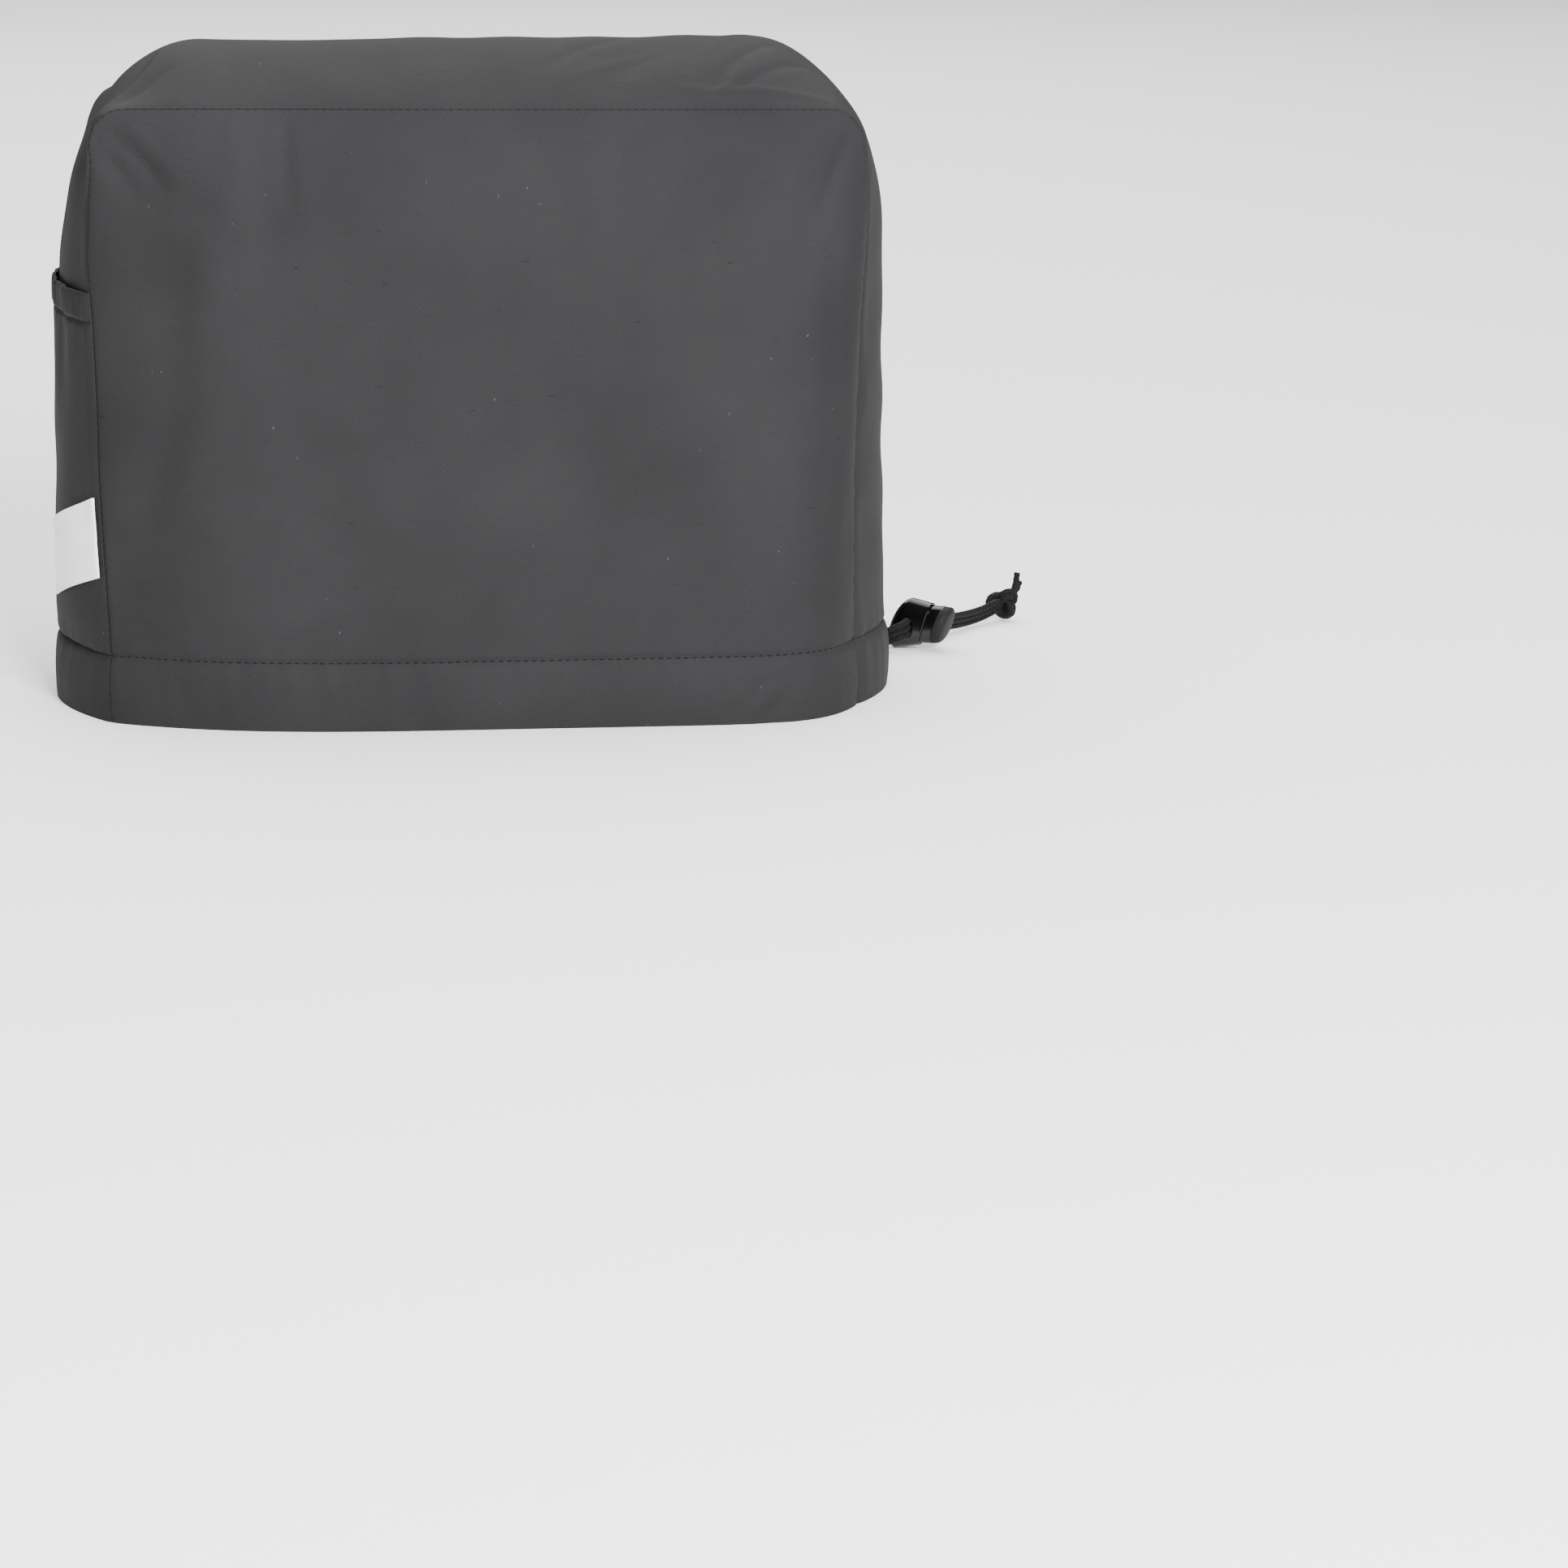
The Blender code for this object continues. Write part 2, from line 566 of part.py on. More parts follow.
def lofted(name, stations, power, material, count=28):
    """Closed shape through stations of (x, half thickness, half height, lean, lift of the foot).

    A section leans along x with height. The lift takes part of the lean away from its lower half.
    """
    points = []
    for x, half_y, half_z, slant, lift in stations:
        y, z = superellipse(half_y, half_z, power, count)
        foot = lift * np.minimum(z, 0.0) ** 2 / (2.0 * half_z)
        points.append(np.stack([x + slant * (z + foot), y, z], axis=-1))
    points = np.concatenate(points)
    rings = np.arange(len(stations) * count).reshape(len(stations), count)
    after = np.roll(rings, -1, axis=1)
    sides = np.stack([rings[:-1], after[:-1], after[1:], rings[1:]], axis=-1).reshape(-1, 4)
    faces = [*sides.tolist(), rings[0, ::-1].tolist(), rings[-1].tolist()]
    return add_mesh(name, points, faces, material)


def prism(name, x_from, x_to, half, power, material, slant=0.0):
    """Straight bar of rounded section along x, between two places, its ends leaning as told."""
    ends = [(x, *half, slant, 0.0) for x in (x_from, x_to)]
    return lofted(name, ends, power, material, count=20)


def cutter(obj):
    """Make an object a hidden cutter."""
    obj.hide_render = True
    obj.display_type = "WIRE"
    return obj


def combine(obj, tool, operation):
    """Cut one shape out of another, or join it on."""
    change = obj.modifiers.new(tool.name, "BOOLEAN")
    change.operation = operation
    change.solver = "EXACT"
    change.object = tool


def lock_frame():
    """Place and turn of the cord lock on the table."""
    return Matrix.Translation(LOCK_PLACE) @ Matrix.Rotation(LOCK_YAW, 4, "Z")


def build_lock():
    """Cord lock: a domed body with a hole for the cord, and a sprung button with neck and stem."""
    place = lock_frame()
    black = make_material("lock_body", "lock")
    length = LOCK_RIM - LOCK_BACK
    stations = []
    for part in (0.0, 0.03, 0.09, 0.18, LOCK_DOME, 0.55, 0.80, 0.97, 1.0):
        round_end = math.sqrt(1.0 - (1.0 - min(part / LOCK_DOME, 1.0)) ** 2)
        dome = LOCK_END + (1.0 - LOCK_END) * round_end
        taper = max(part - LOCK_DOME, 0.0) / (1.0 - LOCK_DOME)
        edge = 0.96 if part == 1.0 else 1.0
        half_y = LOCK_HALF_THICKNESS[0] + (LOCK_HALF_THICKNESS[1] - LOCK_HALF_THICKNESS[0]) * taper
        half_z = LOCK_HALF_HEIGHT[0] + (LOCK_HALF_HEIGHT[1] - LOCK_HALF_HEIGHT[0]) * taper
        slant = LOCK_SLANT[0] + (LOCK_SLANT[1] - LOCK_SLANT[0]) * part
        size = dome * edge
        stations.append((LOCK_BACK + length * part, half_y * size, half_z * size, slant, 1.0 - part))
    body = lofted("lock_body", stations, 2.8, black)
    bore_half = (STEM_HALF[1] + GAP, STEM_HALF[0] + GAP)
    bore = cutter(prism("stem_bore", STEM_BACK - BUTTON_TRAVEL - GAP, LOCK_RIM, bore_half, 4.0, black))
    bore.location = (0.0, 0.0, -HOLE_DROP)
    neck_bore_half = (NECK_HALF[1] + GAP, NECK_HALF[0] + GAP)
    neck_bore = cutter(prism("neck_bore", NECK_BACK - BUTTON_TRAVEL - GAP, BUTTON_HEAD[0],
                             neck_bore_half, 2.8, black, LOCK_SLANT[1]))
    hole = cutter(prism("cord_hole", -CUTTER_REACH, CUTTER_REACH, CORD_HOLE_HALF, 2.6, black))
    hole.rotation_euler = (0.0, 0.0, math.radians(90.0))
    hole.location = (0.0, 0.0, -HOLE_DROP)
    for tool in (bore, neck_bore, hole):
        combine(body, tool, "DIFFERENCE")

    matte = make_material("lock_button", "button")
    head_half_z, head_half_y = BUTTON_HEAD_HALF
    head = []
    for part, thick, tall in BUTTON_SHARES:
        x = BUTTON_HEAD[0] + (BUTTON_HEAD[1] - BUTTON_HEAD[0]) * part
        head.append((x, head_half_y * thick, head_half_z * tall, BUTTON_SLANT, 0.0))
    button = lofted("lock_button", head, 2.2, matte, count=24)
    neck_half = (NECK_HALF[1], NECK_HALF[0])
    neck = cutter(prism("neck", NECK_BACK, BUTTON_HEAD[0] + BUTTON_JOIN, neck_half, 2.8, matte,
                        LOCK_SLANT[1]))
    stem_half = (STEM_HALF[1], STEM_HALF[0])
    stem = cutter(prism("stem", STEM_BACK, BUTTON_HEAD[0], stem_half, 4.0, matte))
    stem.location = (0.0, 0.0, -HOLE_DROP)
    slot_front = CORD_HOLE_HALF[0] + BUTTON_TRAVEL
    slot_half = ((slot_front - SLOT_BACK) / 2.0, CORD_HOLE_HALF[1])
    slot = cutter(prism("stem_slot", -CUTTER_REACH, CUTTER_REACH, slot_half, 4.0, matte))
    slot.rotation_euler = (0.0, 0.0, math.radians(90.0))
    slot.location = ((slot_front + SLOT_BACK) / 2.0, 0.0, -HOLE_DROP)
    for tool in (neck, stem):
        combine(button, tool, "UNION")
    combine(button, slot, "DIFFERENCE")
    holder = bpy.data.objects.new("lock_place", None)
    bpy.context.scene.collection.objects.link(holder)
    holder.matrix_world = place
    for obj in (body, bore, neck_bore, hole, button, neck, stem, slot):
        obj.parent = holder


def smooth_route(points, count):
    """Even points along the smooth curve through a route: cubic pieces with shared slopes."""
    ends = np.concatenate([[2 * points[0] - points[1]], points, [2 * points[-1] - points[-2]]])
    part = np.linspace(0.0, 1.0, 24, endpoint=False)[:, None]
    pieces = []
    for before, first, second, after in zip(ends[:-3], ends[1:-2], ends[2:-1], ends[3:]):
        cubic = 3.0 * (first - second) + after - before
        square = 2.0 * before - 5.0 * first + 4.0 * second - after
        pieces.append(first + 0.5 * part * (second - before + part * (square + part * cubic)))
    dense = np.concatenate([*pieces, points[-1:]])
    run = np.concatenate([[0.0], np.cumsum(np.linalg.norm(np.diff(dense, axis=0), axis=-1))])
    places = np.linspace(0.0, run[-1], count)
    return np.stack([np.interp(places, run, dense[:, k]) for k in range(3)], axis=-1)


def strand_path(offset):
    """Centre line of one strand: the route moved sideways in a row that turns as it goes."""
    route = smooth_route(np.array(CORD_ROUTE_MM) * 0.001, CORD_POINTS)
    run = unit(np.gradient(route, axis=0))
    side = unit(np.cross(run, [0.0, 0.0, 1.0]))
    upright = np.cross(side, run)
    share = np.linspace(0.0, 1.0, CORD_POINTS)
    places, turns = zip(*STRAND_TURN)
    turn = np.radians(np.interp(share, places, turns))[:, None]
    return route + offset * (np.cos(turn) * side + np.sin(turn) * upright)


def build_strands():
    """Three strands of the drawstring, from the hem to the knot."""
    for number in range(3):
        path = strand_path((number - 1) * STRAND_PITCH)
        name = f"drawstring_{number + 1}"
        curve = bpy.data.curves.new(name, "CURVE")
        curve.dimensions = "3D"
        curve.bevel_depth = CORD_DIAMETER / 2.0
        curve.bevel_resolution = 2
        curve.use_fill_caps = True
        spline = curve.splines.new("POLY")
        spline.points.add(len(path) - 1)
        for point, place in zip(spline.points, path):
            point.co = (*place, 1.0)
        curve.materials.append(make_material(name, "cord"))
        obj = bpy.data.objects.new(name, curve)
        bpy.context.scene.collection.objects.link(obj)


def tube(path, radius, sides):
    """Points and faces of a closed tube along a path."""
    run = unit(np.gradient(path, axis=0))
    side = unit(np.cross(run, np.array([0.31, 0.93, 0.17])))
    other = np.cross(run, side)
    turn = np.linspace(0.0, 2.0 * math.pi, sides, endpoint=False)
    ring = np.cos(turn)[None, :, None] * side[:, None] + np.sin(turn)[None, :, None] * other[:, None]
    points = (path[:, None] + radius * ring).reshape(-1, 3)
    index = np.arange(len(path) * sides).reshape(len(path), sides)
    after = np.roll(index, -1, axis=1)
    walls = np.stack([index[:-1], index[1:], after[1:], after[:-1]], axis=-1).reshape(-1, 4)
    return points, [*walls.tolist(), index[0].tolist(), index[-1, ::-1].tolist()]


def build_knot():
    """Overhand knot with its two tails: three thick loops and two stubs melted into one lump."""
    turn = np.linspace(0.30, 2.0 * math.pi - 0.30, 60)
    loops = np.stack([
        (np.sin(turn) + 2.0 * np.sin(2.0 * turn)) * KNOT_SCALE[0],
        np.sin(3.0 * turn) * KNOT_SCALE[1],
        (np.cos(turn) - 2.0 * np.cos(2.0 * turn)) * KNOT_SCALE[2],
    ], axis=-1)
    lean = np.array(Matrix.Rotation(KNOT_LEAN, 3, "Y"))
    loops = loops @ lean.T
    tubes = [(loops, KNOT_TUBE), (np.array(TAIL_MM) * 0.001, CORD_DIAMETER / 2.0),
             (np.array(NUB_MM) * 0.001, CORD_DIAMETER / 2.0)]
    points = []
    faces = []
    for path, radius in tubes:
        start = sum(len(part) for part in points)
        tube_points, tube_faces = tube(path + np.array(KNOT_PLACE), radius, 10)
        points.append(tube_points)
        faces += [[i + start for i in face] for face in tube_faces]
    braid = make_material("drawstring_knot", "cord")
    knot = add_mesh("drawstring_knot", np.concatenate(points), faces, braid)
    melt = knot.modifiers.new("Melt", "REMESH")
    melt.mode = "VOXEL"
    melt.voxel_size = 0.0005
    thin = knot.modifiers.new("Thin", "DECIMATE")
    thin.ratio = 0.14


def clear_scene():
    """Remove every object that the scene starts with."""
    for obj in list(bpy.data.objects):
        bpy.data.objects.remove(obj, do_unlink=True)


def main():
    """Build every piece of the cover."""
    clear_scene()
    band, band_normals = build_cloth()
    build_pocket(band, band_normals)
    build_label(band, band_normals)
    build_lock()
    build_strands()
    build_knot()


main()
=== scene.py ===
"""Looks of the toaster cover: charcoal nylon cloth sewn at two seams, an end pocket, a blank woven
label, a braided drawstring with its cord lock and knot, and the pale floor it stands on.

The cloth repeats the solids' own formulas on closer grids, with the stitching, gathers and creases
that the solids leave out. Metres, +Z up, front towards -Y.
"""
import math

import bmesh
import bpy
import numpy as np
from mathutils import Matrix


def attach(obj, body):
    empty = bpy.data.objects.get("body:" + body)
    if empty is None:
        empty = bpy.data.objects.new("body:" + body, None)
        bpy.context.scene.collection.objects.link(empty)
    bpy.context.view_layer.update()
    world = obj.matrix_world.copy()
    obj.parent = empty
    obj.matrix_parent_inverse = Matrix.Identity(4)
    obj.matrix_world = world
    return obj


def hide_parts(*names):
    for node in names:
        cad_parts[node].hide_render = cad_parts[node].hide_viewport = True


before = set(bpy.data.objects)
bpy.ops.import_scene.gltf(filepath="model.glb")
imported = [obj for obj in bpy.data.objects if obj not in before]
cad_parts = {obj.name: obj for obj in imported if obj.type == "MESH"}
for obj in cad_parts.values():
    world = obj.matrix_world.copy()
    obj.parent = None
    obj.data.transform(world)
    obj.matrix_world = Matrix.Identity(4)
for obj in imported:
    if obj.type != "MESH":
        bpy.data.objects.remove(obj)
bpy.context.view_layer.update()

MM = 0.001

# Camera at the photograph's angle. Focal length is in pixels of the 1932 pixel frame
FRAME_PIXELS = 1932
FOCAL_PIXELS = 6796.0
CAMERA_DISTANCE = 2.1
CAMERA_HEIGHT = 0.393
CAMERA_SIDE = math.radians(-3.3)
CAMERA_YAW = math.radians(6.567)
CAMERA_PITCH = math.radians(-11.66)
SENSOR_MM = 36.0

# Studio: the wide box overhead whitens the floor, and the box in front, a little to the right, lights
# the front. Each box has its place, what it faces, its size and its power
FLOOR_RADIUS = 24.0
SURROUND_STRENGTH = 0.12
SOFT_BOXES = [
    ("top_box", (0.0, 1.6, 2.2), (0.0, 1.5, 0.0), (3.2, 6.0), 235.0),
    ("front_box", (0.55, -2.6, 1.15), (0.0, 0.0, 0.1), (0.8, 0.8), 225.0),
]

# Cover, outside faces, as its solids are
HEIGHT = 0.2480
LEFT_REACH = (0.1588, 0.1543)
RIGHT_REACH = (0.1588, 0.1568)
LEFT_SHOULDER = (0.054, 0.084)
RIGHT_SHOULDER = (0.054, 0.070)
SEAM_HEIGHT = 0.2270
SEAM_CORNER_RADIUS = (0.0135, 0.0140)
SEAM_DEPTH_TOP = 0.066
EDGE_DEPTH_TOP = 0.0675
BELLY_DEPTH = 0.0945
BELLY_HEIGHT = 0.120
BELLY_POWER = (1.5, 2.6)
HEM_DEPTH = 0.0924
CLOTH = 0.0011
SEAM_GAP = 0.0002
HEM_HEIGHT = 0.025
HEM_PROUD = 0.0018
HEM_TUCK = 0.006
EVEN_BELOW = 0.050
PANELS = {
    "front_panel": dict(side=-1, hem_x=(-0.1393, 0.1405), top_x=(-0.1428, 0.1432),
                        hem_depth=(0.0630, 0.0585), rounding=(3.4, 10.0), skew=0.0020,
                        top_tilt=-0.0013, wander=1.0),
    "back_panel": dict(side=1, hem_x=(-0.1400, 0.1415), top_x=(-0.1430, 0.1432),
                       hem_depth=(0.0640, 0.0640), rounding=(3.4, 4.6), skew=-0.0020,
                       top_tilt=0.0, wander=0.5),
}

# How far the front seams wander from their straight legs: height, left seam, right seam
SEAM_WANDER = [
    (0.000, 0.0009, 0.0002),
    (0.030, 0.0007, -0.0002),
    (0.060, -0.0002, -0.0008),
    (0.090, -0.0010, -0.0012),
    (0.120, -0.0006, -0.0006),
    (0.150, -0.0010, 0.0002),
    (0.172, -0.0021, 0.0014),
    (0.188, -0.0010, 0.0021),
    (0.205, 0.0004, 0.0014),
    (0.227, 0.0, 0.0),
]

# Creases of the two panels: panel, x and z of the lower and the upper end, depth (plus is a trough,
# minus a ridge), half width and sideways bow, all in millimetres
PANEL_CREASES = [
    ("front_panel", -118, 196, -138, 214, 1.8, 6.0, 0.0),
    ("front_panel", -96, 186, -124, 217, 1.6, 7.0, 3.0),
    ("front_panel", -78, 180, -80, 224, 1.6, 8.0, 0.0),
    ("front_panel", 52, 176, 50, 222, 1.2, 8.0, 0.0),
    ("front_panel", 120, 178, 134, 212, 1.6, 7.5, 2.0),
    ("front_panel", -128, 40, -112, 140, 2.2, 11.0, 0.0),
    ("front_panel", -72, 52, -40, 70, 1.2, 8.0, 0.0),
    ("front_panel", 104, 0, 112, 16, 1.2, 5.0, 0.0),
    ("back_panel", -110, 182, -132, 214, 1.8, 7.5, 0.0),
    ("back_panel", 108, 178, 130, 213, 1.8, 7.5, 0.0),
    ("back_panel", -30, 180, -34, 222, 1.4, 9.0, 0.0),
    ("back_panel", 110, 50, 124, 140, 2.0, 11.0, 0.0),
    ("front_panel", -126, 199, -135, 208, 1.2, 2.2, 0.4),
    ("front_panel", -116, 201, -133, 218, 1.2, 2.4, -0.5),
    ("front_panel", -112, 206, -126, 221, -0.9, 3.0, 0.5),
    ("front_panel", -70, 194, -71, 224, 1.0, 3.4, 0.6),
    ("front_panel", -88, 203, -91, 223, -0.40, 2.8, 0.4),
    ("front_panel", 47, 184, 49, 210, 0.7, 3.4, 0.5),
    ("front_panel", 85, 168, 86, 196, 0.6, 3.6, 0.8),
    ("front_panel", 126, 190, 137, 215, 0.9, 2.6, 0.5),
    ("front_panel", -66, 46, -44, 58, 0.8, 3.4, 1.0),
    ("front_panel", -58, 40, -38, 54, -0.7, 4.0, 1.0),
    ("front_panel", -100, 110, -92, 196, -1.3, 9.0, 7.0),
    ("front_panel", -124, 60, -100, 112, -1.1, 9.0, 4.0),
    ("front_panel", 127, 66, 130, 176, 1.3, 4.5, -2.0),
    ("front_panel", 114, 62, 115, 92, -0.4, 1.6, 0.3),
    ("front_panel", -82, 27, -56, 40, 0.6, 2.6, 1.0),
    ("front_panel", 88, 28, 98, 44, 0.6, 2.8, 0.6),
    ("front_panel", 92, 2, 103, 17, 0.7, 2.2, 0.6),
    ("front_panel", 96, 4, 110, 14, -0.5, 2.6, 0.4),
    ("back_panel", -118, 198, -134, 214, 0.6, 2.2, 0.6),
    ("back_panel", 118, 196, 132, 213, 0.6, 2.2, -0.6),
    ("back_panel", 20, 186, 22, 218, 0.4, 3.4, 0.6),
    ("back_panel", -76, 44, -50, 60, 0.45, 3.8, 1.0),
]
# Creases of the band: place along it from the left hem and across it from the middle, for both ends
# in millimetres, then depth, half width and bow in millimetres
BAND_CREASES = [
    (203, -56, 226, -30, 1.2, 10.0, 0.0),
    (429, -53, 442, -26, 1.2, 10.0, 0.0),
    (459, 23, 439, 53, 1.4, 11.0, 0.0),
    (328, 20, 338, 53, 1.0, 12.0, 0.0),
    (226, -60, 262, -8, -1.6, 3.6, -4.0),
    (180, -20, 210, 14, 0.7, 4.0, 2.0),
    (236, -40, 256, -12, 1.2, 4.0, -2.0),
    (238, -54, 258, -38, 0.9, 3.6, 0.0),
    (286, -12, 275, -58, 0.8, 4.0, 1.0),
    (455, -60, 512, -61, -0.8, 2.6, 0.0),
    (402, -44, 428, -12, 0.7, 3.2, 2.0),
    (412, -52, 440, -30, -0.5, 3.0, 1.0),
    (466, -58, 486, -18, 1.3, 3.4, 2.0),
    (474, -62, 500, -30, 1.0, 2.8, 1.0),
    (462, -40, 478, 6, -0.5, 4.0, 2.0),
    (560, 8, 590, 34, 0.6, 4.0, 2.0),
    (92, 18, 128, 42, 0.5, 4.0, 2.0),
]

# Closer grid of the cloth: columns across a panel, rows up a leg and columns across the band
PANEL_COLUMNS = 201
HEM_ROWS = 30
BODY_ROWS = 84
CORNER_ROWS = 14
BAND_COLUMNS = 81

# Sewing: one stitch every 3.1 mm, the puckers and gathers that it pulls into the cloth, the groove
# along the hem, and the depth of the slack cloth between
STITCH_PITCH = 0.0031
STITCH_LENGTH = 0.0021
THREAD_RADIUS = 0.00026
SEAM_TUCK = 0.0007
SEAM_TUCK_WIDTH = 0.0016
PUCKER_WAVES = (0.0062, 0.0093, 0.0148)
PUCKER_DEPTH = 0.00032
PUCKER_REACH = 0.0045
GATHER_WAVES = (0.0075, 0.0119, 0.0213)
GATHER_DEPTH = 0.00042
HEM_GROOVE = 0.0008
HEM_GROOVE_WIDTH = 0.0013
SLACK_DEPTH = 0.00013

# Pocket on the left end: the heights of its mouth and foot, how far its mouth rises in the middle and
# its foot is sewn down, its edge in the width of the band (1 is the seam), and its folds
POCKET_TOP = 0.1602
POCKET_ARCH = 0.0040
POCKET_BOTTOM = 0.0285
POCKET_SEWN = 0.0028
POCKET_EDGE = 0.994
POCKET_CLOTH = 0.0011
POCKET_BULGE = 0.0010
POCKET_HEM = 0.0005
POCKET_BAND = 0.011
POCKET_GATHER = 0.00055
POCKET_RIB = 0.00012
POCKET_SWELL = 0.0009
CLOTH_GAP = 0.0004

# Label hanging from the front left seam
LABEL_LENGTH = 0.047
LABEL_HEIGHT = 0.030
LABEL_CLOTH = 0.0007
LABEL_CURL = 0.0008
LABEL_DROOP = math.radians(16.5)
LABEL_SEAM_POINT = (-0.0652, 0.0698)
LABEL_STRIP = 0.0028

# Cord lock, in its own frame: x along its axis to the button, y through its flat faces.
# Halves are at the domed back and at the rim; the dome is a share of the body's length
LOCK_PLACE = (0.1784, 0.0570, 0.0102)
LOCK_YAW = math.radians(-28.0)
LOCK_BACK = -0.0084
LOCK_RIM = 0.0066
LOCK_HALF_HEIGHT = (0.0102, 0.0084)
LOCK_HALF_THICKNESS = (0.0056, 0.0054)
LOCK_SLANT = (0.42, 0.30)
LOCK_DOME = 0.32
LOCK_END = 0.14
HOLE_DROP = 0.0009
BUTTON_TRAVEL = 0.0030
# The button's slotted stem, the wide neck that slides in the rim, and its head (height, thickness)
STEM_HALF = (0.0050, 0.0026)
STEM_BACK = -0.0025
SLOT_BACK = -0.0016
CORD_HOLE_HALF = (0.0021, 0.00425)
NECK_HALF = (0.0076, 0.0046)
NECK_BACK = 0.0058
BUTTON_HEAD = (0.0110, 0.0158)
BUTTON_HEAD_HALF = (0.0074, 0.0076)
BUTTON_SLANT = 0.34
BUTTON_JOIN = 0.0010
CUTTER_REACH = 0.010
LOCK_GAP = 0.0003

# Drawstring: its route, the turn of its row of strands, the knot at its end, its braid, and how far
# the strands run on inside the hem and towards the middle of the knot
STRAND_PITCH = 0.0026
CORD_ROUTE_MM = [
    (143.25, 65.4, 4.4),
    (146.6, 67.8, 4.3),
    (150.9, 69.0, 4.1),
    (155.2, 67.2, 3.8),
    (158.8, 62.8, 3.4),
    (161.9, 57.2, 3.6),
    (165.4, 51.4, 5.1),
    (169.2, 48.0, 7.2),
    (173.2, 48.2, 8.7),
    (175.9, 52.1, 9.3),
    (178.4, 57.0, 9.3),
    (181.1, 62.1, 9.3),
    (185.0, 69.2, 8.7),
    (190.8, 77.4, 7.1),
    (198.6, 87.4, 5.2),
    (206.8, 97.8, 4.5),
    (213.9, 105.8, 4.9),
    (219.2, 110.8, 6.1),
]
STRAND_TURN = [(0.0, 90.0), (0.05, 80.0), (0.19, 20.0), (0.24, 25.0), (0.37, 90.0), (0.58, 90.0),
               (0.74, 62.0), (1.0, 62.0)]
KNOT_PLACE = (0.2243, 0.1146, 0.0074)
KNOT_SCALE = (0.00170, 0.00105, 0.00155)
KNOT_LEAN = math.radians(-18.0)
KNOT_BUNDLE = 0.00122
TAIL_MM = [(2.8, 0.2, 3.0), (5.0, 0.6, 7.0), (6.0, 1.2, 12.6)]
NUB_MM = [(3.0, 1.4, 2.4), (5.8, 1.8, 5.4), (7.2, 2.0, 9.0)]
BRAID_SIDES = 24
BRAID_PITCH = 0.0024
BRAID_RELIEF = 0.11
STRAND_RADIUS = 0.00124
STRAND_INSIDE = 0.0022
KNOT_SHARE = 0.6
STRAND_CLOSING = 0.4
STRAND_POINTS = 480

COLOURS = {
    "nylon": "#1f1f20",
    "nylon_light": "#2d2d2e",
    "slub": "#0f0f10",
    "lint": "#5c5c5e",
    "thread": "#060607",
    "thread_light": "#141415",
    "label": "#fcfcfa",
    "label_weft": "#f3f3ef",
    "cord": "#040404",
    # Lighter cord colour, painted on the braid's crowns as a highlight
    "cord_painted_highlight": "#141414",
    "lock": "#050505",
    "button": "#171718",
    "floor": "#fafafa",
}


def linear(name, alpha=1.0):
    """One of the named sRGB colours as linear numbers."""
    text = COLOURS[name].lstrip("#")
    parts = [int(text[k:k + 2], 16) / 255.0 for k in (0, 2, 4)]
    return (*[c / 12.92 if c <= 0.04045 else ((c + 0.055) / 1.055) ** 2.4 for c in parts], alpha)


def add(tree, kind, inputs=None, **settings):
    """Add a node: its settings, then a value or a link for each input named or numbered."""
    node = tree.nodes.new(kind)
    for key, value in settings.items():
        setattr(node, key, value)
    for key, value in (inputs or {}).items():
        if isinstance(value, bpy.types.NodeSocket):
            tree.links.new(value, node.inputs[key])
        else:
            node.inputs[key].default_value = value
    return node


def wave_scale(spacing_mm, diagonal=False):
    """Scale of a wave texture with its bands this far apart: 20 radians a unit along one axis, or 10
    along the sum of the axes."""
    radians = 10.0 * math.sqrt(2.0) if diagonal else 20.0
    return 2.0 * math.pi / (radians * spacing_mm * MM)


def start_material(name):
    """New material, with its node tree and its Principled shader."""
    material = bpy.data.materials.new(name)
    material.use_nodes = True
    tree = material.node_tree
    return material, tree, tree.nodes["Principled BSDF"]


def set_inputs(tree, shader, values):
    """Values and links of a shader's inputs."""
    for key, value in values.items():
        if isinstance(value, bpy.types.NodeSocket):
            tree.links.new(value, shader.inputs[key])
        else:
            shader.inputs[key].default_value = value


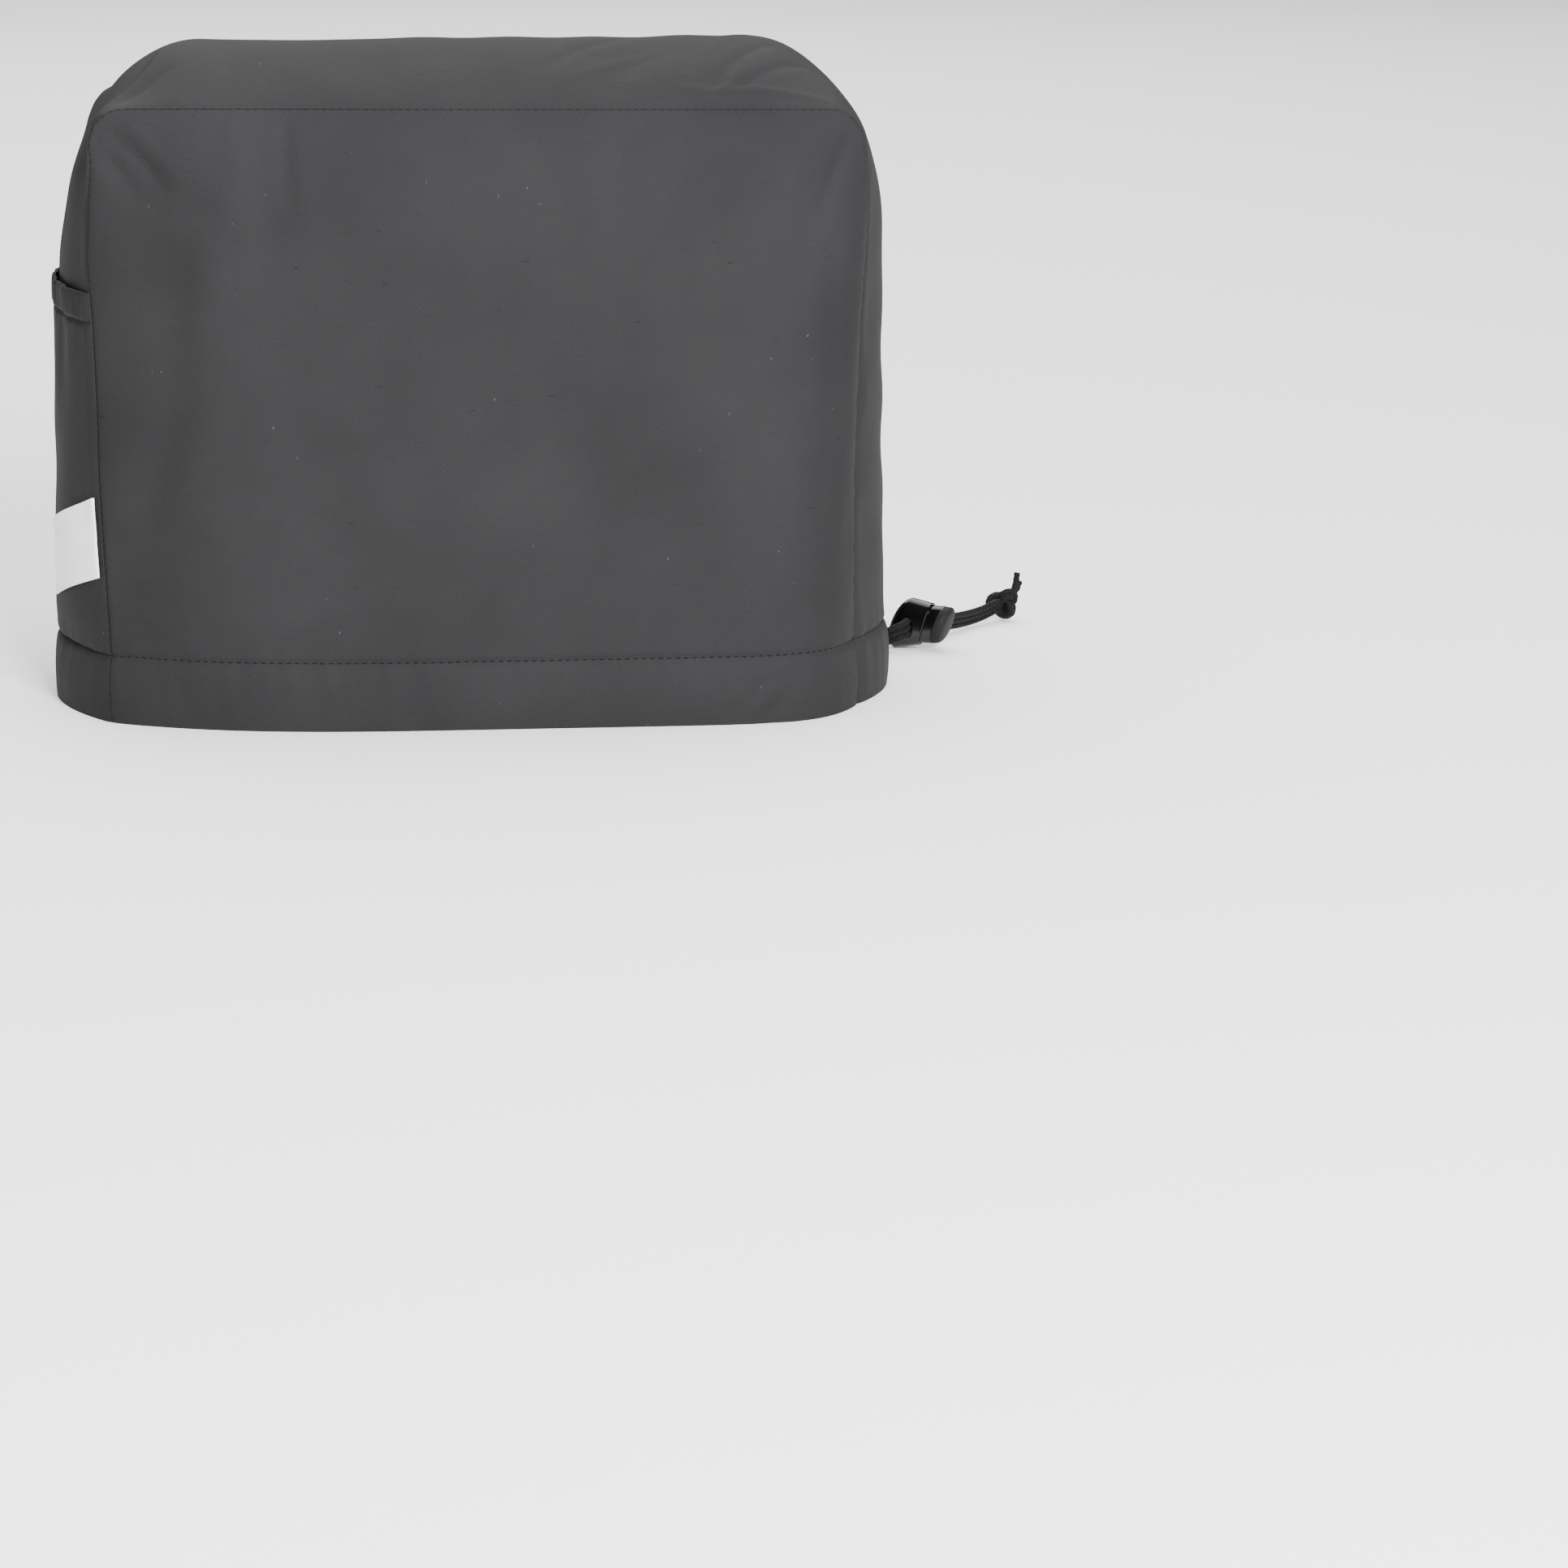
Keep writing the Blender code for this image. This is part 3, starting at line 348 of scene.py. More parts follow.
def woven_nylon():
    """Nylon oxford cloth, woven and calendered: dull satin, with a diagonal rib, slubs and lint."""
    material, tree, shader = start_material("nylon_oxford_cloth")
    cloth = add(tree, "ShaderNodeUVMap", uv_map="cloth").outputs[0]
    place = add(tree, "ShaderNodeTexCoord").outputs["Object"]
    # Ribs 1.56 mm and threads 0.77 mm apart, some three times the real spacing so that they show
    twill = add(tree, "ShaderNodeTexWave", {"Vector": cloth, "Scale": wave_scale(1.56, diagonal=True),
                                            "Distortion": 1.0, "Detail": 2.0, "Detail Scale": 1.4},
                wave_type="BANDS", bands_direction="DIAGONAL").outputs["Fac"]
    threads = add(tree, "ShaderNodeTexWave", {"Vector": cloth, "Scale": wave_scale(0.766),
                                              "Distortion": 1.2, "Detail": 2.0},
                  wave_type="BANDS", bands_direction="Y").outputs["Fac"]
    weave = add(tree, "ShaderNodeMath", {0: twill, 1: threads}, operation="MULTIPLY").outputs[0]
    cloudy = add(tree, "ShaderNodeTexNoise", {"Vector": place, "Scale": 17.0, "Detail": 4.0}).outputs["Fac"]
    fine = add(tree, "ShaderNodeTexNoise", {"Vector": cloth, "Scale": 340.0, "Detail": 3.0}).outputs["Fac"]
    tone = add(tree, "ShaderNodeMath", {0: cloudy, 1: 0.9, 2: -0.15}, operation="MULTIPLY_ADD").outputs[0]
    tone = add(tree, "ShaderNodeMath", {0: weave, 1: 0.20, 2: tone}, operation="MULTIPLY_ADD",
               use_clamp=True).outputs[0]
    colour = add(tree, "ShaderNodeMix", {"Factor": tone, "A": linear("nylon"), "B": linear("nylon_light")},
                 data_type="RGBA").outputs["Result"]
    # Slubs are thick yarns a few millimetres long, and lint is the pale ends of loose fibres
    for scales, low, high, top, shade in (((130.0, 520.0, 1.0), 0.70, 0.80, 0.55, "slub"),
                                          ((520.0, 210.0, 1.0), 0.745, 0.79, 0.55, "lint")):
        drawn = add(tree, "ShaderNodeMapping", {"Vector": cloth, "Scale": scales,
                                                "Rotation": (0.0, 0.0, 0.5)}).outputs[0]
        spots = add(tree, "ShaderNodeTexNoise",
                    {"Vector": drawn, "Scale": 1.0, "Detail": 2.5}).outputs["Fac"]
        share = add(tree, "ShaderNodeMapRange", {"Value": spots, "From Min": low, "From Max": high,
                                                 "To Max": top}).outputs[0]
        colour = add(tree, "ShaderNodeMix", {"Factor": share, "A": colour, "B": linear(shade)},
                     data_type="RGBA").outputs["Result"]
    rough = add(tree, "ShaderNodeMapRange", {"Value": cloudy, "To Min": 0.64, "To Max": 0.76}).outputs[0]
    low = add(tree, "ShaderNodeBump", {"Strength": 0.30, "Distance": 0.0004, "Height": fine})
    bump = add(tree, "ShaderNodeBump", {"Strength": 0.35, "Distance": 0.0002, "Height": weave,
                                        "Normal": low.outputs[0]})
    set_inputs(tree, shader, {"Base Color": colour, "Roughness": rough,
                              "Normal": bump.outputs[0], "Sheen Weight": 0.01, "Sheen Roughness": 0.4,
                              "Sheen Tint": (0.8, 0.8, 0.82, 1.0), "IOR": 1.53,
                              "Specular IOR Level": 0.05})
    return material


def sewing_thread():
    """Spun polyester sewing thread: dull and nearly black against the satin cloth."""
    material, tree, shader = start_material("polyester_thread")
    place = add(tree, "ShaderNodeTexCoord").outputs["Object"]
    ply = add(tree, "ShaderNodeTexNoise", {"Vector": place, "Scale": 1800.0, "Detail": 2.0}).outputs["Fac"]
    colour = add(tree, "ShaderNodeMix", {"Factor": ply, "A": linear("thread"), "B": linear("thread_light")},
                 data_type="RGBA").outputs["Result"]
    bump = add(tree, "ShaderNodeBump", {"Strength": 0.4, "Distance": 0.0001, "Height": ply}).outputs[0]
    set_inputs(tree, shader, {"Base Color": colour, "Roughness": 0.80, "Normal": bump,
                              "Sheen Weight": 0.02, "Sheen Roughness": 0.5,
                              "Specular IOR Level": 0.10})
    return material


def label_ribbon():
    """Woven polyester label ribbon: white, soft satin, with fine ribs of weft and no lettering."""
    material, tree, shader = start_material("woven_label_ribbon")
    cloth = add(tree, "ShaderNodeUVMap", uv_map="cloth").outputs[0]
    # Weft ribs 0.8 mm apart, twice the real spacing so that they show
    ribs = add(tree, "ShaderNodeTexWave", {"Vector": cloth, "Scale": wave_scale(0.806), "Distortion": 0.4},
               wave_type="BANDS", bands_direction="Y").outputs["Fac"]
    warp = add(tree, "ShaderNodeTexWave", {"Vector": cloth, "Scale": wave_scale(0.604), "Distortion": 0.5},
               wave_type="BANDS", bands_direction="X").outputs["Fac"]
    weave = add(tree, "ShaderNodeMath", {0: ribs, 1: warp}, operation="MULTIPLY").outputs[0]
    colour = add(tree, "ShaderNodeMix", {"Factor": weave, "A": linear("label_weft"), "B": linear("label")},
                 data_type="RGBA").outputs["Result"]
    bump = add(tree, "ShaderNodeBump", {"Strength": 0.35, "Distance": 0.0001, "Height": weave}).outputs[0]
    set_inputs(tree, shader, {"Base Color": colour, "Roughness": 0.55, "Normal": bump,
                              "Sheen Weight": 0.25, "Sheen Roughness": 0.4})
    return material


def braided_cord():
    """Braided polyester cord: dull charcoal, with a painted highlight on the crown of each carrier and
    painted shade in the grooves between them.
    """
    material, tree, shader = start_material("braided_polyester_cord")
    cloth = add(tree, "ShaderNodeUVMap", uv_map="cloth").outputs[0]
    crown_highlight = add(tree, "ShaderNodeAttribute", attribute_name="crown_highlight").outputs["Fac"]
    fibres = add(tree, "ShaderNodeTexNoise",
                 {"Vector": cloth, "Scale": 1500.0, "Detail": 3.0}).outputs["Fac"]
    # Painted highlight: the braid's crowns are mixed towards the lighter colour, and its grooves keep the
    # dark one as painted shade, broken up by random fibre tone
    tone = add(tree, "ShaderNodeMath", {0: crown_highlight, 1: fibres}, operation="MULTIPLY").outputs[0]
    colour = add(tree, "ShaderNodeMix", {"Factor": tone, "A": linear("cord"), "B": linear("cord_painted_highlight")},
                 data_type="RGBA").outputs["Result"]
    bump = add(tree, "ShaderNodeBump", {"Strength": 0.5, "Distance": 0.00015, "Height": fibres}).outputs[0]
    set_inputs(tree, shader, {"Base Color": colour, "Roughness": 0.75, "Normal": bump,
                              "Sheen Weight": 0.02, "Sheen Roughness": 0.5,
                              "Specular IOR Level": 0.15})
    return material


def moulded_acetal():
    """Injection moulded acetal of the lock's body: black with a polished mould finish."""
    material, tree, shader = start_material("moulded_acetal")
    place = add(tree, "ShaderNodeTexCoord").outputs["Object"]
    flow = add(tree, "ShaderNodeTexNoise", {"Vector": place, "Scale": 320.0, "Detail": 2.0}).outputs["Fac"]
    rough = add(tree, "ShaderNodeMapRange", {"Value": flow, "To Min": 0.16, "To Max": 0.26}).outputs[0]
    bump = add(tree, "ShaderNodeBump", {"Strength": 0.10, "Distance": 0.0002, "Height": flow}).outputs[0]
    set_inputs(tree, shader, {"Base Color": linear("lock"), "Roughness": rough, "Normal": bump,
                              "IOR": 1.48})
    return material


def textured_acetal():
    """Injection moulded acetal of the button: dark grey with a spark eroded, matte mould finish."""
    material, tree, shader = start_material("textured_acetal")
    place = add(tree, "ShaderNodeTexCoord").outputs["Object"]
    grain = add(tree, "ShaderNodeTexNoise",
                {"Vector": place, "Scale": 2600.0, "Detail": 2.0}).outputs["Fac"]
    rough = add(tree, "ShaderNodeMapRange", {"Value": grain, "To Min": 0.56, "To Max": 0.70}).outputs[0]
    bump = add(tree, "ShaderNodeBump", {"Strength": 0.35, "Distance": 0.0001, "Height": grain}).outputs[0]
    set_inputs(tree, shader, {"Base Color": linear("button"), "Roughness": rough, "Normal": bump,
                              "IOR": 1.48, "Specular IOR Level": 0.12})
    return material


def studio_floor():
    """Matte painted board of the studio floor: pale and even."""
    material, tree, shader = start_material("painted_board")
    place = add(tree, "ShaderNodeTexCoord").outputs["Object"]
    mottle = add(tree, "ShaderNodeTexNoise", {"Vector": place, "Scale": 3.0, "Detail": 2.0}).outputs["Fac"]
    rough = add(tree, "ShaderNodeMapRange", {"Value": mottle, "To Min": 0.80, "To Max": 0.90}).outputs[0]
    set_inputs(tree, shader, {"Base Color": linear("floor"), "Roughness": rough,
                              "Specular IOR Level": 0.2})
    return material


def make_camera():
    """Camera that stands where the photograph was taken from."""
    data = bpy.data.cameras.new("photo_camera")
    data.sensor_width = SENSOR_MM
    data.lens = FOCAL_PIXELS / FRAME_PIXELS * SENSOR_MM
    data.clip_start = 0.05
    data.clip_end = 60.0
    camera = bpy.data.objects.new("photo_camera", data)
    camera.location = (CAMERA_DISTANCE * math.sin(CAMERA_SIDE),
                       -CAMERA_DISTANCE * math.cos(CAMERA_SIDE), CAMERA_HEIGHT)
    camera.rotation_euler = (math.pi / 2.0 + CAMERA_PITCH, 0.0, -CAMERA_YAW)
    bpy.context.scene.collection.objects.link(camera)
    bpy.context.scene.camera = camera


def make_light(name, place, target, size, power):
    """Square soft box at a place, facing a target."""
    data = bpy.data.lights.new(name, "AREA")
    data.shape = "RECTANGLE"
    data.size, data.size_y = size
    data.energy = power
    light = bpy.data.objects.new(name, data)
    back = np.array(place) - np.array(target)
    turn = math.atan2(back[0], -back[1])
    light.location = place
    light.rotation_euler = (math.acos(back[2] / np.linalg.norm(back)), 0.0, turn)
    bpy.context.scene.collection.objects.link(light)


def make_studio():
    """Pale floor, a faint even surround and the soft boxes."""
    bpy.ops.mesh.primitive_circle_add(vertices=64, radius=FLOOR_RADIUS, fill_type="NGON")
    floor = bpy.context.object
    floor.name = "studio_floor"
    floor.data.materials.append(studio_floor())
    world = bpy.data.worlds.new("studio_world")
    world.use_nodes = True
    sky = world.node_tree.nodes["Background"]
    sky.inputs["Color"].default_value = (1.0, 1.0, 1.0, 1.0)
    sky.inputs["Strength"].default_value = SURROUND_STRENGTH
    bpy.context.scene.world = world
    for box in SOFT_BOXES:
        make_light(*box)


def smoothstep(value):
    """0 below 0, 1 above 1, and a smooth rise between."""
    clipped = np.clip(value, 0.0, 1.0)
    return clipped * clipped * (3.0 - 2.0 * clipped)


def unit(vectors):
    """Each vector at length 1."""
    return vectors / np.maximum(np.linalg.norm(vectors, axis=-1, keepdims=True), 1e-12)


def run_along(points, axis):
    """Length along a grid of points from its first row, on one of its axes."""
    step = np.linalg.norm(np.diff(points, axis=axis), axis=-1)
    first = np.zeros_like(np.take(step, [0], axis=axis))
    return np.concatenate([first, np.cumsum(step, axis=axis)], axis=axis)


def waves(place, lengths, seed):
    """Uneven ripple along a line: sines of a few wavelengths with drifting phases, between -1 and 1."""
    random = np.random.default_rng(seed)
    total = np.zeros_like(place)
    for length in lengths:
        phase, drift, swing = random.uniform(0.0, 2.0 * math.pi, 3)
        drifting = 1.3 * np.sin(place / (length * 5.3) + drift)
        strength = 0.65 + 0.35 * np.sin(place / (length * 3.1) + swing)
        total += strength * np.sin(2.0 * math.pi * place / length + phase + drifting)
    return total / len(lengths)


def leg_length(height, radius):
    """Length up a leg of an arch, from the floor to the middle of its corner."""
    return height - radius[1] + (radius[0] + radius[1]) / 2.0 * math.pi / 4.0


def arch_leg(hand, x_hem, x_top, height, radius, length):
    """Points up one leg: straight from x_hem to x_top, then the first half of the oval corner."""
    straight = height - radius[1]
    along = np.minimum(length, straight)
    turn = np.maximum(length - straight, 0.0) / ((radius[0] + radius[1]) / 2.0)
    x = x_hem + (x_top - x_hem) * along / straight - hand * radius[0] * (1.0 - np.cos(turn))
    return x, along + radius[1] * np.sin(turn)


def arch_top(x_left, x_right, height, left_radius, right_radius, across):
    """Points over the top, across from -1 to 1, between the middles of the two oval corners."""
    left = across < 0.0
    wide = np.where(left, left_radius[0], right_radius[0])
    tall = np.where(left, left_radius[1], right_radius[1])
    flat = np.where(left, -x_left, x_right) - wide
    mean = (wide + tall) / 2.0
    run = np.abs(across) * (flat + mean * math.pi / 4.0)
    turn = np.maximum(run - flat, 0.0) / mean
    x = np.sign(across) * (np.minimum(run, flat) + wide * np.sin(turn))
    return x, height - tall * (1.0 - np.cos(turn))


def leg_rows():
    """Lengths up a leg at which the cloth has a row of points, closer in the hem and the corner."""
    straight = SEAM_HEIGHT - SEAM_CORNER_RADIUS[1]
    hem = np.linspace(0.0, HEM_HEIGHT * 1.2, HEM_ROWS + 1)
    body = np.linspace(hem[-1], straight, BODY_ROWS + 1)[1:]
    corner = np.linspace(straight, leg_length(SEAM_HEIGHT, SEAM_CORNER_RADIUS), CORNER_ROWS + 1)[1:]
    return np.concatenate([hem, body, corner])


def panel_columns():
    """Places across a panel from -1 to 1, closer towards its two seams."""
    even = np.linspace(-1.0, 1.0, PANEL_COLUMNS)
    return even * (1.35 - 0.35 * even * even)


def middle_depth(z):
    """Depth of a panel's middle: almost upright to half height, then leaning in to the top seam."""
    below = np.clip((BELLY_HEIGHT - z) / BELLY_HEIGHT, 0.0, 1.0)
    above = np.clip((z - BELLY_HEIGHT) / (SEAM_HEIGHT - BELLY_HEIGHT), 0.0, 1.0)
    hem_lean = (BELLY_DEPTH - HEM_DEPTH) * below ** BELLY_POWER[0]
    return BELLY_DEPTH - hem_lean - (BELLY_DEPTH - EDGE_DEPTH_TOP) * above ** BELLY_POWER[1]


def panel_grid(panel):
    """Outer face of a panel: a patch between its hem, legs and top edge, bellied out in depth.

    Width and height blend the four edges. Depth goes from the middle's depth to the seam's depth
    as a power of the distance from the middle.
    """
    across = panel_columns()[:, None]
    rows = leg_rows()[None, :]
    share = (across + 1.0) / 2.0
    rise = rows / rows[0, -1]
    radius = SEAM_CORNER_RADIUS
    left_x, leg_z = arch_leg(-1, panel["hem_x"][0], panel["top_x"][0], SEAM_HEIGHT, radius, rows)
    right_x, _ = arch_leg(1, panel["hem_x"][1], panel["top_x"][1], SEAM_HEIGHT, radius, rows)
    top_x, top_z = arch_top(*panel["top_x"], SEAM_HEIGHT, radius, radius, across)
    hem_x = panel["hem_x"][0] * (1.0 - share) + panel["hem_x"][1] * share
    corner_left = (1.0 - rise) * hem_x[0, 0] + rise * top_x[0, 0]
    corner_right = (1.0 - rise) * hem_x[-1, 0] + rise * top_x[-1, 0]
    x = (1.0 - rise) * hem_x + rise * top_x
    x = x + (1.0 - share) * (left_x - corner_left) + share * (right_x - corner_right)
    z = leg_z + rise * (top_z - top_z[0, 0])
    heights, left_shift, right_shift = (np.array(part) for part in zip(*SEAM_WANDER))
    shift = np.where(across < 0.0, np.interp(z, heights, left_shift), np.interp(z, heights, right_shift))
    x = x + panel["wander"] * shift * np.abs(across) ** 5
    z = z + panel["top_tilt"] * across * rise ** 4
    hem_depth = np.where(across < 0.0, *panel["hem_depth"])
    seam = hem_depth + (SEAM_DEPTH_TOP - hem_depth) * z / SEAM_HEIGHT
    power = np.where(across < 0.0, *panel["rounding"])
    middle = middle_depth(z)
    depth = middle + (seam - middle) * np.abs(across) ** power
    depth = depth + panel["skew"] * across * (1.0 - across ** 6) * (1.0 - rise ** 4)
    return np.stack([x, panel["side"] * depth, z], axis=-1)


def seam_of(grid):
    """The seam line round a panel's grid: up its left edge, over its top, down its right edge."""
    return np.concatenate([grid[0], grid[1:, -1], grid[-1, -2::-1]])


def set_seam(grid, seam):
    """Put the points of a seam line back on the left, top and right edges of a panel's grid."""
    columns, rows = grid.shape[:2]
    grid[0] = seam[:rows]
    grid[1:, -1] = seam[rows:rows + columns - 1]
    grid[-1, -2::-1] = seam[rows + columns - 1:]


def stretched(rows, shoulder):
    """The lengths up a seam stretched to run to the middle of the shoulder, level in the hem."""
    share = np.maximum(rows - EVEN_BELOW, 0.0) / (rows[-1] - EVEN_BELOW)
    top = leg_length(HEIGHT, shoulder)
    return np.where(rows < EVEN_BELOW, rows, EVEN_BELOW + share * (top - EVEN_BELOW))


def band_middle():
    """The band's middle line, with a point for each point of a seam line."""
    rows = leg_rows()
    left_x, left_z = arch_leg(-1, -LEFT_REACH[0], -LEFT_REACH[1], HEIGHT, LEFT_SHOULDER,
                              stretched(rows, LEFT_SHOULDER))
    right_x, right_z = arch_leg(1, RIGHT_REACH[0], RIGHT_REACH[1], HEIGHT, RIGHT_SHOULDER,
                                stretched(rows, RIGHT_SHOULDER))
    top_x, top_z = arch_top(-LEFT_REACH[1], RIGHT_REACH[1], HEIGHT, LEFT_SHOULDER, RIGHT_SHOULDER,
                            panel_columns()[1:-1])
    x = np.concatenate([left_x, top_x, right_x[::-1]])
    z = np.concatenate([left_z, top_z, right_z[::-1]])
    return np.stack([x, np.zeros_like(x), z], axis=-1)


def band_section(front, middle, back, across):
    """Point of the band's cross-section: the parabola through front seam, middle line, back seam."""
    half = (back - front) / 2.0
    bow = (front + back) / 2.0 - middle
    return middle + across * half + across * across * bow


def outward(grid, turn):
    """Unit normals of a grid of points, level near the floor so that the hem's edge stays flat."""
    normal = unit(np.cross(np.gradient(grid, axis=0), np.gradient(grid, axis=1))) * turn
    normal[..., 2] *= smoothstep(grid[..., 2] / EVEN_BELOW)
    return unit(normal)


def crease(first, second, line, depth, half_width, bow):
    """Soft trough or ridge along a bowed line: depth times a bell curve of the distance to it,
    fading towards both ends as the root of a sine."""
    start = np.array(line[:2])
    run = np.array(line[2:]) - start
    length = np.linalg.norm(run)
    ahead = run / length
    offset = np.stack([first - start[0], second - start[1]], axis=-1)
    along = offset @ ahead
    place = np.clip(along / length, 0.0, 1.0)
    aside = offset @ np.array([-ahead[1], ahead[0]]) - bow * np.sin(math.pi * place)
    past = along - place * length
    distance = np.hypot(aside, past)
    fade = 0.35 + 0.65 * np.sin(math.pi * np.clip(place, 0.02, 0.98)) ** 0.5
    return -depth * fade * np.exp(-(distance / half_width) ** 2)


def hem_relief(z):
    """How far the hem stands out: a casing fullest at its middle, drawn in at its stitching."""
    share = np.clip((z + HEM_TUCK) / (HEM_HEIGHT + HEM_TUCK), 0.0, 1.0)
    casing = HEM_PROUD * np.sin(math.pi * share) ** 0.7
    groove = HEM_GROOVE * np.exp(-((z - HEM_HEIGHT) / HEM_GROOVE_WIDTH) ** 2)
    return casing - groove


def hem_gathers(place, z, seed):
    """Gathers of the hem: uneven upright ripples, strongest at the stitching, gone 12 mm above it."""
    below = smoothstep(z / 0.006) * (z < HEM_HEIGHT)
    above = np.exp(-np.maximum(z - HEM_HEIGHT, 0.0) / 0.0045) * (z >= HEM_HEIGHT)
    near = 0.45 + 0.55 * np.exp(-(np.abs(z - HEM_HEIGHT) / 0.006))
    slant = place + 0.10 * (z - HEM_HEIGHT)
    return GATHER_DEPTH * waves(slant, GATHER_WAVES, seed) * (below * near + above)


def seam_tuck(distance, along, seed):
    """Cloth drawn in at a seam: a narrow dip, with uneven puckers across it that fade within 9 mm."""
    dip = -SEAM_TUCK * np.exp(-distance / SEAM_TUCK_WIDTH)
    puckers = PUCKER_DEPTH * waves(along, PUCKER_WAVES, seed) * np.exp(-distance / PUCKER_REACH)
    return dip + puckers * smoothstep(distance / 0.0012)


def slack(first, second, seed):
    """Slight waviness of limp cloth: a few long ripples in random directions, 0.3 mm deep."""
    random = np.random.default_rng(seed)
    total = np.zeros(np.broadcast(first, second).shape)
    for _ in range(9):
        turn, phase = random.uniform(0.0, 2.0 * math.pi, 2)
        length = random.uniform(0.028, 0.085)
        total += np.sin(2.0 * math.pi * (first * math.cos(turn) + second * math.sin(turn)) / length + phase)
    return SLACK_DEPTH * total


def add_mesh(name, points, faces, material, uv=None, crown_highlight=None):
    """Object from points and faces, shaded smooth, with its cloth coordinates in metres."""
    mesh = bpy.data.meshes.new(name)
    faces = np.asarray(faces)
    mesh.vertices.add(len(points))
    mesh.vertices.foreach_set("co", np.asarray(points, np.float32).ravel())
    mesh.loops.add(faces.size)
    mesh.loops.foreach_set("vertex_index", faces.ravel().astype(np.int32))
    mesh.polygons.add(len(faces))
    mesh.polygons.foreach_set("loop_start", np.arange(0, faces.size, faces.shape[1], dtype=np.int32))
    mesh.update(calc_edges=True)
    mesh.validate()
    if uv is not None:
        layer = mesh.uv_layers.new(name="cloth")
        layer.data.foreach_set("uv", np.asarray(uv, np.float32)[faces.ravel()].ravel())
    # Ridge height of the braid, kept as the mask of the cord's painted highlight
    if crown_highlight is not None:
        mesh.attributes.new("crown_highlight", "FLOAT", "POINT").data.foreach_set("value", crown_highlight.astype(np.float32))
    mesh.shade_smooth()
    mesh.materials.append(material)
    obj = bpy.data.objects.new(name, mesh)
    bpy.context.scene.collection.objects.link(obj)
    return obj


def thin_sheet(name, outer, inner, material, uv, sharp=50.0):
    """Closed thin sheet between two grids of points, joined round their four edges."""
    index = np.arange(outer.shape[0] * outer.shape[1]).reshape(outer.shape[:2])
    count = index.size
    corners = [index[:-1, :-1], index[1:, :-1], index[1:, 1:], index[:-1, 1:]]
    face = np.stack(corners, axis=-1).reshape(-1, 4)
    ring = np.concatenate([index[:, 0], index[-1, 1:], index[-2::-1, -1], index[0, -2:0:-1]])
    after = np.roll(ring, -1)
    rim = np.stack([after, ring, ring + count, after + count], axis=-1)
    faces = np.concatenate([face, face[:, ::-1] + count, rim])
    points = np.concatenate([outer.reshape(-1, 3), inner.reshape(-1, 3)])
    flat = uv.reshape(-1, 2)
    obj = add_mesh(name, points, faces, material, np.concatenate([flat, flat]))
    face_out(obj)
    obj.data.set_sharp_from_angle(angle=math.radians(sharp))
    return obj


def face_out(obj):
    """Turn a closed mesh's faces outwards."""
    work = bmesh.new()
    work.from_mesh(obj.data)
    bmesh.ops.recalc_face_normals(work, faces=work.faces[:])
    work.to_mesh(obj.data)
    work.free()


def seam_frame(seam, panel_normal, band_normal, towards_band):
    """Outward, across and reach at each seam point, shared by the two pieces that meet there."""
    out = unit(panel_normal + band_normal)
    spread = np.maximum(np.sum(out * panel_normal, axis=-1, keepdims=True), 0.6)
    across = unit(np.cross(unit(np.gradient(seam, axis=0)), out))
    across = across * np.sign(np.sum(across * towards_band, axis=-1, keepdims=True))
    across[[0, -1], 2] = 0.0
    out[[0, -1], 2] = 0.0
    return unit(out), unit(across), spread


def on_floor(grid):
    """The same grid with every point of the hem's lower edge at floor height."""
    grid[..., 2] = np.where(grid[..., 2] < 0.0006, 0.0, grid[..., 2])
    return grid


def panel_relief(name, grid):
    """Everything that lifts or sinks a panel's face: hem, gathers, seam, creases and slack."""
    x, z = grid[..., 0], grid[..., 2]
    seed = 11 if name == "front_panel" else 23
    across = run_along(grid, 0)
    up = run_along(grid, 1)
    left, right, top = across, across[-1] - across, up[:, -1:] - up
    relief = hem_relief(z) + hem_gathers(across, z, seed)
    relief += seam_tuck(left, up, seed + 1) + seam_tuck(right, up, seed + 2)
    relief += seam_tuck(top, across, seed + 3)
    inland = smoothstep(np.minimum(np.minimum(left, right), top) / 0.010)
    folds = np.zeros_like(x)
    for panel, *line, depth, half_width, bow in PANEL_CREASES:
        if panel == name:
            folds += crease(x, z, np.array(line) * MM, depth * MM, half_width * MM, bow * MM)
    relief += folds * smoothstep(np.minimum(np.minimum(left, right), top) / 0.005)
    return relief + slack(x, z, seed + 4) * inland * smoothstep(z / 0.03)


def band_parts(band):
    """Length along the band from the left hem, and width across it from its middle line."""
    columns = band.shape[1]
    along = run_along(band[:, columns // 2], 0)[:, None] + np.zeros(band.shape[:2])
    across = run_along(band, 1)
    return along, across - across[:, columns // 2:columns // 2 + 1]


def band_relief(band):
    """Everything that lifts or sinks the band's face: hem, gathers, seams, creases and slack."""
    along, across = band_parts(band)
    z = band[..., 2]
    edge = np.minimum(across - across[:, :1], across[:, -1:] - across)
    front_edge = across - across[:, :1]
    back_edge = across[:, -1:] - across
    relief = hem_relief(z) + hem_gathers(across, z, 37) * (1.0 + 0.8 * (along > 0.3))
    relief += seam_tuck(front_edge, along, 12) + seam_tuck(back_edge, along, 24)
    folds = np.zeros_like(z)
    for *line, depth, half_width, bow in BAND_CREASES:
        folds += crease(along, across, np.array(line) * MM, depth * MM, half_width * MM, bow * MM)
    relief += folds * smoothstep(edge / 0.005)
    return relief + slack(along, across, 41) * smoothstep(edge / 0.010) * smoothstep(z / 0.03)


